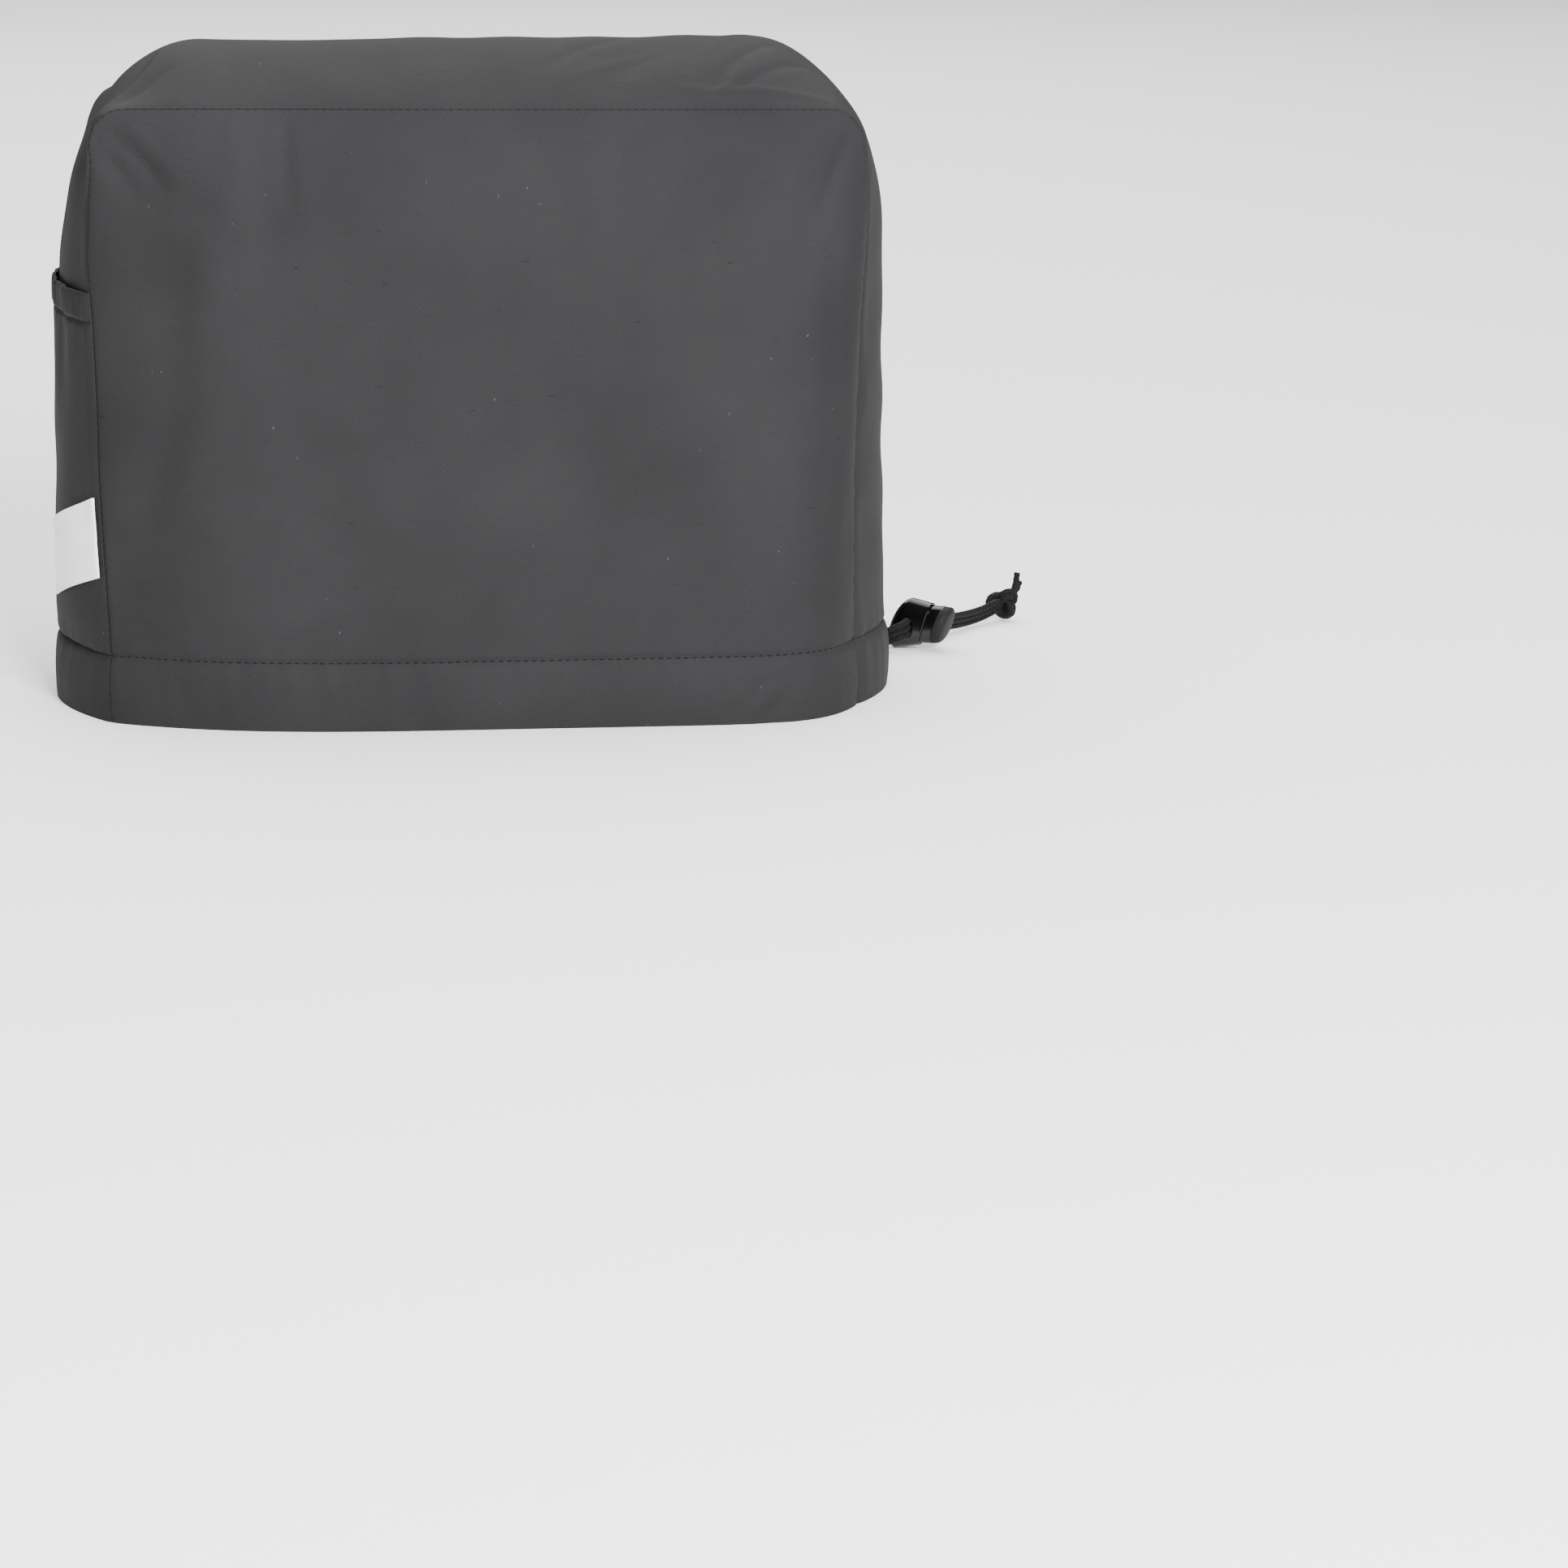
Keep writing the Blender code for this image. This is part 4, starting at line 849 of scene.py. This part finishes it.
def build_cloth(nylon):
    """The two panels and the band, edge to edge along the two seams."""
    grids = {name: panel_grid(panel) for name, panel in PANELS.items()}
    normals = {name: outward(grids[name], -PANELS[name]["side"]) for name in PANELS}
    across = np.linspace(-1.0, 1.0, BAND_COLUMNS)[None, :, None]
    front, back = (seam_of(grids[name])[:, None] for name in PANELS)
    band = band_section(front, band_middle()[:, None], back, across)
    band_normals = outward(band, 1.0)
    lift = band_relief(band)[..., None]
    band_outer = band + band_normals * lift
    band_inner = band_outer - band_normals * CLOTH
    seams, hems, made = {}, {}, {}
    for name, panel in PANELS.items():
        grid, normal = grids[name], normals[name]
        column, inside = (0, 1) if panel["side"] < 0 else (-1, -2)
        seam = band[:, column]
        out, over, spread = seam_frame(seam, seam_of(normal), band_normals[:, column],
                                       band[:, inside] - seam)
        sunk = (hem_relief(seam[:, 2]) - SEAM_TUCK)[:, None]
        seam_outer = seam + out * sunk
        seam_inner = seam_outer - out * (CLOTH / spread)
        band_outer[:, column] = seam_outer + over * SEAM_GAP / 2.0
        band_inner[:, column] = seam_inner + over * SEAM_GAP / 2.0
        outer = grid + normal * panel_relief(name, grid)[..., None]
        inner = outer - normal * CLOTH
        set_seam(outer, seam_outer - over * SEAM_GAP / 2.0)
        set_seam(inner, seam_inner - over * SEAM_GAP / 2.0)
        uv = np.stack([run_along(grid, 0), run_along(grid, 1)], axis=-1)
        made[name] = thin_sheet(f"{name}_cloth", on_floor(outer), on_floor(inner), nylon, uv)
        seams[name] = (seam_outer, out)
        hems[name] = hem_line(outer, normal)
    uv = np.stack(band_parts(band), axis=-1)
    made["gusset_band"] = thin_sheet("gusset_band_cloth", on_floor(band_outer),
                                     on_floor(band_inner), nylon, uv)
    hems["left"], hems["right"] = end_hems(band_outer, band_normals)
    return made, band_outer, band_normals, seams, hems


def hem_line(outer, normal):
    """Points and normals along the hem's stitching on a panel."""
    row = int(np.argmin(np.abs(outer[outer.shape[0] // 2, :, 2] - HEM_HEIGHT)))
    return outer[:, row].copy(), normal[:, row].copy()


def end_hems(outer, normal):
    """Points and normals along the hem's stitching on the band's two ends."""
    rows = len(leg_rows())
    column = outer.shape[1] // 2
    left = int(np.argmin(np.abs(outer[:rows, column, 2] - HEM_HEIGHT)))
    right = outer.shape[0] - rows + int(np.argmin(np.abs(outer[-rows:, column, 2] - HEM_HEIGHT)))
    return (outer[left], normal[left]), (outer[right], normal[right])


def stitch_row(line, normals, lift, seed):
    """Places, directions and normals of a row of stitches along a line, a pitch apart."""
    run = run_along(line, 0)
    random = np.random.default_rng(seed)
    count = max(int(run[-1] / STITCH_PITCH), 2)
    places = (np.arange(count) + 0.5) * run[-1] / count + random.uniform(-0.00015, 0.00015, count)
    at = np.stack([np.interp(places, run, line[:, k]) for k in range(3)], axis=-1)
    ahead = np.stack([np.interp(places + 0.0008, run, line[:, k]) for k in range(3)], axis=-1)
    behind = np.stack([np.interp(places - 0.0008, run, line[:, k]) for k in range(3)], axis=-1)
    normal = unit(np.stack([np.interp(places, run, normals[:, k]) for k in range(3)], axis=-1))
    return at + normal * lift, unit(ahead - behind), normal


def stitch_mesh(name, rows, material):
    """All stitches as one mesh: each a small spindle, thickest at its middle, sunk at its ends."""
    at, ahead, normal = (np.concatenate(part) for part in zip(*rows))
    side = np.cross(ahead, normal)
    stations = np.array([-0.5, -0.34, 0.0, 0.34, 0.5])
    thick = np.array([0.35, 0.85, 1.0, 0.85, 0.35]) * THREAD_RADIUS
    dip = np.array([-1.2, -0.15, 0.25, -0.15, -1.2]) * THREAD_RADIUS
    turn = np.linspace(0.0, 2.0 * math.pi, 6, endpoint=False)
    ring = np.cos(turn)[None, :, None] * side[:, None, None]
    ring = ring + np.sin(turn)[None, :, None] * normal[:, None, None]
    centre = at[:, None] + ahead[:, None] * (stations * STITCH_LENGTH)[None, :, None]
    centre = centre + normal[:, None] * dip[None, :, None]
    points = centre[:, :, None] + ring * thick[None, :, None, None]
    index = np.arange(len(at) * 30).reshape(len(at), 5, 6)
    after = np.roll(index, -1, axis=2)
    walls = np.stack([index[:, :-1], after[:, :-1], after[:, 1:], index[:, 1:]], axis=-1).reshape(-1, 4)
    low = index[:, 0][:, [[0, 1, 2, 3], [0, 3, 4, 5]]].reshape(-1, 4)[:, ::-1]
    high = index[:, -1][:, [[0, 1, 2, 3], [0, 3, 4, 5]]].reshape(-1, 4)
    obj = add_mesh(name, points.reshape(-1, 3), np.concatenate([walls, low, high]), material)
    face_out(obj)
    return obj


def left_end_surface(outer, band_normals, across, heights):
    """Points and normals of the band on the left end, at places across it and heights up it."""
    rows = len(leg_rows())
    columns = outer.shape[1]
    levels = leg_rows()
    place = np.clip((across + 1.0) / 2.0 * (columns - 1), 0.0, columns - 1.001)
    low_column = np.floor(place).astype(int)
    part = (place - low_column)[..., None]
    row = np.interp(heights, levels, np.arange(rows))
    low_row = np.clip(np.floor(row).astype(int), 0, rows - 2)
    rise = (row - low_row)[..., None]

    def sample(values):
        lower = values[low_row, low_column] * (1.0 - part) + values[low_row, low_column + 1] * part
        upper = values[low_row + 1, low_column] * (1.0 - part) + values[low_row + 1, low_column + 1] * part
        return lower * (1.0 - rise) + upper * rise

    return sample(outer), unit(sample(band_normals))


def pocket_bulge(across, heights):
    """The pocket's fullness: most at its mouth, none at its sides and its bottom."""
    side = 1.0 - np.abs(across / POCKET_EDGE) ** 2.4
    rise = smoothstep((heights - POCKET_BOTTOM) / (POCKET_TOP - POCKET_BOTTOM))
    return POCKET_BULGE * side * (0.25 + 0.75 * rise) * smoothstep((heights - POCKET_BOTTOM) / 0.02)


def build_pocket(nylon, outer, band_normals):
    """Pocket over the left end: thin cloth caught in both seams, with a turned and gathered mouth.

    Its height rises to the middle of the end by a parabola, most at the mouth.
    """
    across, level = np.meshgrid(
        np.sin(np.linspace(-math.pi / 2.0, math.pi / 2.0, 151)) * POCKET_EDGE,
        np.concatenate([np.linspace(POCKET_BOTTOM - POCKET_SEWN, POCKET_TOP - 0.0165, 86),
                        np.linspace(POCKET_TOP - 0.016, POCKET_TOP, 30)]), indexing="ij")
    rise = smoothstep((level - POCKET_BOTTOM) / (POCKET_TOP - POCKET_BOTTOM))
    height = level + POCKET_ARCH * (1.0 - across ** 2) * rise
    points, normal = left_end_surface(outer, band_normals, across, height)
    wide = across * SEAM_DEPTH_TOP
    foot = POCKET_TOP - POCKET_BAND
    sides = smoothstep((POCKET_EDGE - np.abs(across)) / 0.05)
    mouth = POCKET_HEM * smoothstep((level - foot) / 0.002)
    stitched = -0.0006 * np.exp(-((level - foot) / 0.0010) ** 2)
    lip = -0.0005 * smoothstep((level - POCKET_TOP + 0.0015) / 0.0015)
    in_band = smoothstep((level - foot + 0.0005) / 0.002)
    below = np.exp(-np.maximum(foot - level, 0.0) / 0.007) * (level < foot)
    gathers = POCKET_GATHER * waves(wide + 0.15 * (level - foot), (0.0042, 0.0067, 0.0118), 51)
    ribs = POCKET_RIB * waves(wide, (0.0013, 0.0019), 53) * in_band
    swell = POCKET_SWELL * waves(wide, (0.021, 0.034), 54) * smoothstep((level - 0.10) / 0.05)
    gathers = gathers * (in_band + 0.8 * below) + ribs + swell
    lift = (CLOTH_GAP + pocket_bulge(across, level)) * (0.2 + 0.8 * sides)
    inner = points + normal * lift[..., None]
    foot_share = 0.35 + 0.65 * smoothstep((level - POCKET_BOTTOM + POCKET_SEWN) / 0.012)
    face = POCKET_CLOTH * (0.45 + 0.55 * sides) * foot_share + (mouth + stitched + lip) * sides
    gathers = np.maximum(gathers, -0.8 * lift) * sides
    inner = inner + normal * gathers[..., None]
    top = inner + normal * (face + 0.6 * slack(wide, level, 52) * sides)[..., None]
    sheet = thin_sheet("side_pocket_cloth", top, inner, nylon, np.stack([wide, level], axis=-1))
    row = int(np.argmin(np.abs(level[0] - foot)))
    return sheet, (top[:, row], normal[:, row])


def build_label(ribbon, outer, band_normals):
    """Blank woven label caught in the front left seam, drooping, with a turned strip along its top."""
    along = np.linspace(0.0, LABEL_LENGTH, 64)[:, None]
    up = np.linspace(-LABEL_HEIGHT / 2.0, LABEL_HEIGHT / 2.0, 44)[None, :]
    depth = LABEL_SEAM_POINT[0] + along * math.cos(LABEL_DROOP) + 0.0 * up
    height = LABEL_SEAM_POINT[1] - along * math.sin(LABEL_DROOP) + up
    across = depth / SEAM_DEPTH_TOP
    points, normal = left_end_surface(outer, band_normals, across, height)
    lift = CLOTH_GAP + pocket_bulge(across, height) + POCKET_CLOTH + 0.0006
    lift = lift + LABEL_CURL * (along / LABEL_LENGTH) ** 2
    lift = lift + 0.00025 * np.sin(along / 0.011 + up / 0.02) * along / LABEL_LENGTH
    strip = 0.00035 * smoothstep((up - LABEL_HEIGHT / 2.0 + LABEL_STRIP) / 0.0007)
    inner = points + normal * lift[..., None]
    face = inner + normal * (LABEL_CLOTH + strip)[..., None]
    uv = np.stack([along + 0.0 * up, up + 0.0 * along], axis=-1)
    return thin_sheet("woven_label", face, inner, ribbon, uv)


def smooth_route(points, count):
    """Even points along the smooth curve through a route: cubic pieces with shared slopes."""
    ends = np.concatenate([[2 * points[0] - points[1]], points, [2 * points[-1] - points[-2]]])
    part = np.linspace(0.0, 1.0, 24, endpoint=False)[:, None]
    pieces = []
    for before, first, second, after in zip(ends[:-3], ends[1:-2], ends[2:-1], ends[3:]):
        cubic = 3.0 * (first - second) + after - before
        square = 2.0 * before - 5.0 * first + 4.0 * second - after
        pieces.append(first + 0.5 * part * (second - before + part * (square + part * cubic)))
    dense = np.concatenate([*pieces, points[-1:]])
    run = run_along(dense, 0)
    places = np.linspace(0.0, run[-1], count)
    return np.stack([np.interp(places, run, dense[:, k]) for k in range(3)], axis=-1)


def strand_path(offset, count):
    """Centre line of one strand: the route moved sideways in a row that turns as it goes."""
    route = smooth_route(np.array(CORD_ROUTE_MM) * MM, count)
    run = unit(np.gradient(route, axis=0))
    side = unit(np.cross(run, [0.0, 0.0, 1.0]))
    upright = np.cross(side, run)
    places, turns = zip(*STRAND_TURN)
    turn = np.radians(np.interp(np.linspace(0.0, 1.0, count), places, turns))[:, None]
    return route + offset * (np.cos(turn) * side + np.sin(turn) * upright)


def strand_run(number, count):
    """Centre line of a strand carried on past both ends: straight back into the hem, and in a
    quadratic curve to a point inside the knot."""
    path = strand_path((number - 1) * STRAND_PITCH, count)
    centre = np.array(KNOT_PLACE) + STRAND_CLOSING * (path[-1] - strand_path(0.0, count)[-1])
    target = path[-1] + KNOT_SHARE * (centre - path[-1])
    behind = np.linspace(STRAND_INSIDE, 0.0, 12, endpoint=False)[:, None]
    part = np.linspace(0.0, 1.0, 16)[1:, None]
    bend = path[-1] + unit(path[-1] - path[-2]) * np.linalg.norm(target - path[-1]) / 2.0
    ahead = (1.0 - part) ** 2 * path[-1] + 2.0 * part * (1.0 - part) * bend + part ** 2 * target
    return np.concatenate([path[0] - unit(path[1] - path[0]) * behind, path, ahead])


def braid_tube(path, radius, reference, taper=0.0):
    """Braided cord along a path: a tube whose radius rises on two crossing sets of helical ridges.

    Returns points, faces, cloth coordinates and how far up a ridge each point is, which is the mask of the
    cord's painted highlight.
    """
    run = unit(np.gradient(path, axis=0))
    side = unit(np.cross(run, reference))
    other = np.cross(run, side)
    turn = np.linspace(0.0, 2.0 * math.pi, BRAID_SIDES, endpoint=False)[None, :]
    along = run_along(path, 0)[:, None]
    phase = 2.0 * math.pi * along / BRAID_PITCH
    ridge = np.maximum(np.cos(4.0 * turn + phase), np.cos(4.0 * turn - phase))
    end = np.minimum(along, along[-1] - along) / (radius * 0.7)
    closing = 1.0 - (1.0 - taper) * 0.35 * (1.0 - smoothstep(end))
    reach = radius * (1.0 + BRAID_RELIEF * (ridge - 0.4)) * closing
    ring = np.cos(turn)[..., None] * side[:, None] + np.sin(turn)[..., None] * other[:, None]
    points = path[:, None] + reach[..., None] * ring
    index = np.arange(points.shape[0] * BRAID_SIDES).reshape(points.shape[:2])
    after = np.roll(index, -1, axis=1)
    walls = np.stack([index[:-1], index[1:], after[1:], after[:-1]], axis=-1).reshape(-1, 4)
    fan = np.arange(1, BRAID_SIDES - 2, 2)
    caps = [np.stack([ends[0] + 0 * fan, ends[fan], ends[fan + 1], ends[fan + 2]], axis=-1)
            for ends in (index[0], index[-1, ::-1])]
    uv = np.stack([along + 0.0 * turn, radius * turn + 0.0 * along], axis=-1).reshape(-1, 2)
    return points.reshape(-1, 3), np.concatenate([walls, *caps]), uv, ridge.ravel()


def join_tubes(name, tubes, material):
    """One object from several tubes' points and faces."""
    points, faces, uv, crown_highlight = [], [], [], []
    start = 0
    for tube_points, tube_faces, tube_uv, tube_crown_highlight in tubes:
        points.append(tube_points)
        faces.append(tube_faces + start)
        uv.append(tube_uv)
        crown_highlight.append(tube_crown_highlight)
        start += len(tube_points)
    obj = add_mesh(name, np.concatenate(points), np.concatenate(faces), material,
                   np.concatenate(uv), np.concatenate(crown_highlight))
    face_out(obj)
    return obj


def build_drawstring(material):
    """Three braided strands from the hem to the knot, and the overhand knot with its two cut tails."""
    strands = []
    for number in range(3):
        tube = braid_tube(strand_run(number, STRAND_POINTS), STRAND_RADIUS, [0.0, 0.0, 1.0])
        strands.append(join_tubes(f"braided_strand_{number + 1}", [tube], material))
    turn = np.linspace(0.30, 2.0 * math.pi - 0.30, 220)
    loops = np.stack([
        (np.sin(turn) + 2.0 * np.sin(2.0 * turn)) * KNOT_SCALE[0],
        np.sin(3.0 * turn) * KNOT_SCALE[1] * 1.5,
        (np.cos(turn) - 2.0 * np.cos(2.0 * turn)) * KNOT_SCALE[2],
    ], axis=-1)
    loops = loops @ np.array(Matrix.Rotation(KNOT_LEAN, 3, "Y")).T + np.array(KNOT_PLACE)
    reference = np.array([0.31, 0.93, 0.17])
    run = unit(np.gradient(loops, axis=0))
    side = unit(np.cross(run, reference))
    other = np.cross(run, side)
    tubes = []
    for number in range(3):
        angle = 2.0 * math.pi * number / 3.0 + 0.5 + turn * 0.35
        aside = np.cos(angle)[:, None] * side + np.sin(angle)[:, None] * other
        tubes.append(braid_tube(loops + aside * KNOT_BUNDLE, STRAND_RADIUS, reference))
    for tail in (TAIL_MM, NUB_MM):
        path = smooth_route(np.array(tail) * MM, 60) + np.array(KNOT_PLACE)
        tubes.append(braid_tube(path, STRAND_RADIUS, reference, taper=0.6))
    return strands, join_tubes("overhand_knot", tubes, material)


def superellipse(half_y, half_z, power, count):
    """Points round a rounded rectangle in y and z."""
    turn = np.linspace(0.0, 2.0 * math.pi, count, endpoint=False)
    y = half_y * np.sign(np.cos(turn)) * np.abs(np.cos(turn)) ** (2.0 / power)
    z = half_z * np.sign(np.sin(turn)) * np.abs(np.sin(turn)) ** (2.0 / power)
    return y, z


def lofted(name, stations, power, material, count):
    """Closed shape through stations of (x, half thickness, half height, lean, lift of the foot).

    A section leans along x with height. The lift takes part of the lean away from its lower half.
    """
    sections = []
    for x, half_y, half_z, slant, lift in stations:
        y, z = superellipse(half_y, half_z, power, count)
        foot = lift * np.minimum(z, 0.0) ** 2 / (2.0 * half_z)
        sections.append(np.stack([x + slant * (z + foot), y, z], axis=-1))
    points = np.stack(sections)
    mesh = bpy.data.meshes.new(name)
    rings = np.arange(points.shape[0] * count).reshape(points.shape[:2])
    after = np.roll(rings, -1, axis=1)
    sides = np.stack([rings[:-1], after[:-1], after[1:], rings[1:]], axis=-1).reshape(-1, 4)
    faces = [*sides.tolist(), rings[0, ::-1].tolist(), rings[-1].tolist()]
    mesh.from_pydata(points.reshape(-1, 3).tolist(), [], faces)
    mesh.materials.append(material)
    obj = bpy.data.objects.new(name, mesh)
    bpy.context.scene.collection.objects.link(obj)
    face_out(obj)
    return obj


def boolean(obj, tool, operation):
    """Apply one shape to another, then delete the tool."""
    change = obj.modifiers.new("Shape", "BOOLEAN")
    change.operation = operation
    change.solver = "EXACT"
    change.object = tool
    applied(obj)
    bpy.data.objects.remove(tool, do_unlink=True)


def applied(obj):
    """Replace an object's mesh by what its modifiers make of it."""
    bpy.context.view_layer.update()
    shown = obj.evaluated_get(bpy.context.evaluated_depsgraph_get())
    mesh = bpy.data.meshes.new_from_object(shown)
    obj.modifiers.clear()
    obj.data = mesh


def lock_matrix():
    """Place and turn of the cord lock on the floor."""
    return Matrix.Translation(LOCK_PLACE) @ Matrix.Rotation(LOCK_YAW, 4, "Z")


def prism(name, x_from, x_to, half, power, material, slant=0.0):
    """Straight bar of rounded section along x, between two places, its ends leaning as told."""
    return lofted(name, [(x, *half, slant, 0.0) for x in (x_from, x_to)], power, material, 48)


def finish_plastic(obj):
    """Move a lock piece to its place, and shade it smooth but for its real edges."""
    obj.data.transform(lock_matrix())
    obj.data.shade_smooth()
    obj.data.set_sharp_from_angle(angle=math.radians(32.0))
    return obj


def lock_tool(name, x_from, x_to, half, power, material, across=False, slant=0.0, middle=0.0):
    """Bar that cuts or joins, lowered to the cord's height, along the lock's axis or across it."""
    tool = prism(name, x_from, x_to, (half[1], half[0]), power, material, slant)
    turn = Matrix.Rotation(math.radians(90.0), 4, "Z") if across else Matrix.Identity(4)
    drop = 0.0 if slant else HOLE_DROP
    tool.data.transform(Matrix.Translation((middle, 0.0, -drop)) @ turn)
    return tool


def build_lock(black, matte):
    """Cord lock: domed glossy body with a lipped rim, and a matte leaf shaped button on its neck."""
    length = LOCK_RIM - LOCK_BACK
    dome_shares = LOCK_DOME * (1.0 - np.cos(np.linspace(0.0, math.pi / 2.0, 15)))
    rim = {0.935: 1.0, 0.955: 1.012, 0.985: 1.012, 1.0: 0.985}
    stations = []
    for share in [*dome_shares, *np.linspace(0.38, 0.92, 9), *rim]:
        round_end = math.sqrt(max(1.0 - (1.0 - min(share / LOCK_DOME, 1.0)) ** 2, 0.0))
        size = (LOCK_END + (1.0 - LOCK_END) * round_end) * rim.get(share, 1.0)
        taper = max(share - LOCK_DOME, 0.0) / (1.0 - LOCK_DOME)
        half_y = LOCK_HALF_THICKNESS[0] + (LOCK_HALF_THICKNESS[1] - LOCK_HALF_THICKNESS[0]) * taper
        half_z = LOCK_HALF_HEIGHT[0] + (LOCK_HALF_HEIGHT[1] - LOCK_HALF_HEIGHT[0]) * taper
        slant = LOCK_SLANT[0] + (LOCK_SLANT[1] - LOCK_SLANT[0]) * share
        stations.append((LOCK_BACK + length * share, half_y * size, half_z * size, slant, 1.0 - share))
    body = lofted("cord_lock_body", stations, 2.8, black, 80)
    stem_bore = (STEM_HALF[0] + LOCK_GAP, STEM_HALF[1] + LOCK_GAP)
    neck_bore = (NECK_HALF[0] + LOCK_GAP, NECK_HALF[1] + LOCK_GAP)
    stem_back = STEM_BACK - BUTTON_TRAVEL - LOCK_GAP
    neck_back = NECK_BACK - BUTTON_TRAVEL - LOCK_GAP
    lean = LOCK_SLANT[1]
    boolean(body, lock_tool("stem_bore", stem_back, LOCK_RIM, stem_bore, 4.0, black), "DIFFERENCE")
    boolean(body, lock_tool("neck_bore", neck_back, BUTTON_HEAD[0], neck_bore, 2.8, black, slant=lean),
            "DIFFERENCE")
    boolean(body, lock_tool("cord_hole", -CUTTER_REACH, CUTTER_REACH, CORD_HOLE_HALF[::-1], 2.6, black,
                            across=True), "DIFFERENCE")

    head = []
    for share, thick, tall in ((0.0, 0.86, 0.91), (0.05, 0.94, 0.965), (0.16, 1.0, 1.0), (0.40, 1.0, 1.0),
                               (0.60, 0.985, 0.985), (0.76, 0.93, 0.945), (0.88, 0.83, 0.86),
                               (0.96, 0.68, 0.73), (1.0, 0.52, 0.58)):
        x = BUTTON_HEAD[0] + (BUTTON_HEAD[1] - BUTTON_HEAD[0]) * share
        head.append((x, BUTTON_HEAD_HALF[1] * thick, BUTTON_HEAD_HALF[0] * tall, BUTTON_SLANT, 0.0))
    button = lofted("cord_lock_button", head, 2.05, matte, 72)
    button.data.materials.append(black)
    neck = lock_tool("neck", NECK_BACK, BUTTON_HEAD[0] + BUTTON_JOIN, NECK_HALF, 2.8, black, slant=lean)
    boolean(button, neck, "UNION")
    boolean(button, lock_tool("stem", STEM_BACK, BUTTON_HEAD[0], STEM_HALF, 4.0, black), "UNION")
    slot_front = CORD_HOLE_HALF[0] + BUTTON_TRAVEL
    slot_half = (CORD_HOLE_HALF[1], (slot_front - SLOT_BACK) / 2.0)
    boolean(button, lock_tool("stem_slot", -CUTTER_REACH, CUTTER_REACH, slot_half, 4.0, black, across=True,
                              middle=(slot_front + SLOT_BACK) / 2.0), "DIFFERENCE")
    return finish_plastic(body), finish_plastic(button)


def dress():
    """Make every piece, put it on its body, and hide the solid that it stands for."""
    nylon = woven_nylon()
    thread = sewing_thread()
    strands, knot = build_drawstring(braided_cord())
    body, button = build_lock(moulded_acetal(), textured_acetal())
    cloth, band_outer, band_normals, seams, hems = build_cloth(nylon)
    pocket, mouth = build_pocket(nylon, band_outer, band_normals)
    label = build_label(label_ribbon(), band_outer, band_normals)
    rows = [stitch_row(line, out, -0.0001, 60 + k) for k, (line, out) in enumerate(seams.values())]
    rows += [stitch_row(line, out, 0.00005, 70 + k) for k, (line, out) in enumerate(hems.values())]
    rows.append(stitch_row(*mouth, 0.00005, 80))
    stitches = stitch_mesh("seam_stitching", rows, thread)

    for number, strand in enumerate(strands):
        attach(strand, "cover")
        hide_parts(f"drawstring_{number + 1}")
    pieces = [
        (cloth["front_panel"], "cover", "front_panel", "nylon_cloth"),
        (cloth["back_panel"], "cover", "back_panel", "nylon_cloth"),
        (cloth["gusset_band"], "cover", "gusset_band", "nylon_cloth"),
        (pocket, "cover", "side_pocket", "nylon_cloth"),
        (label, "cover", "label", "label_ribbon"),
        (knot, "cover", "drawstring_knot", "braided_cord"),
        (body, "cover", "lock_body", "lock_plastic"),
        (button, "button", "lock_button", "button_plastic"),
    ]
    for piece, ride, node, slot in pieces:
        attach(piece, ride)
        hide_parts(node)
    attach(stitches, "cover")


make_camera()
make_studio()
dress()
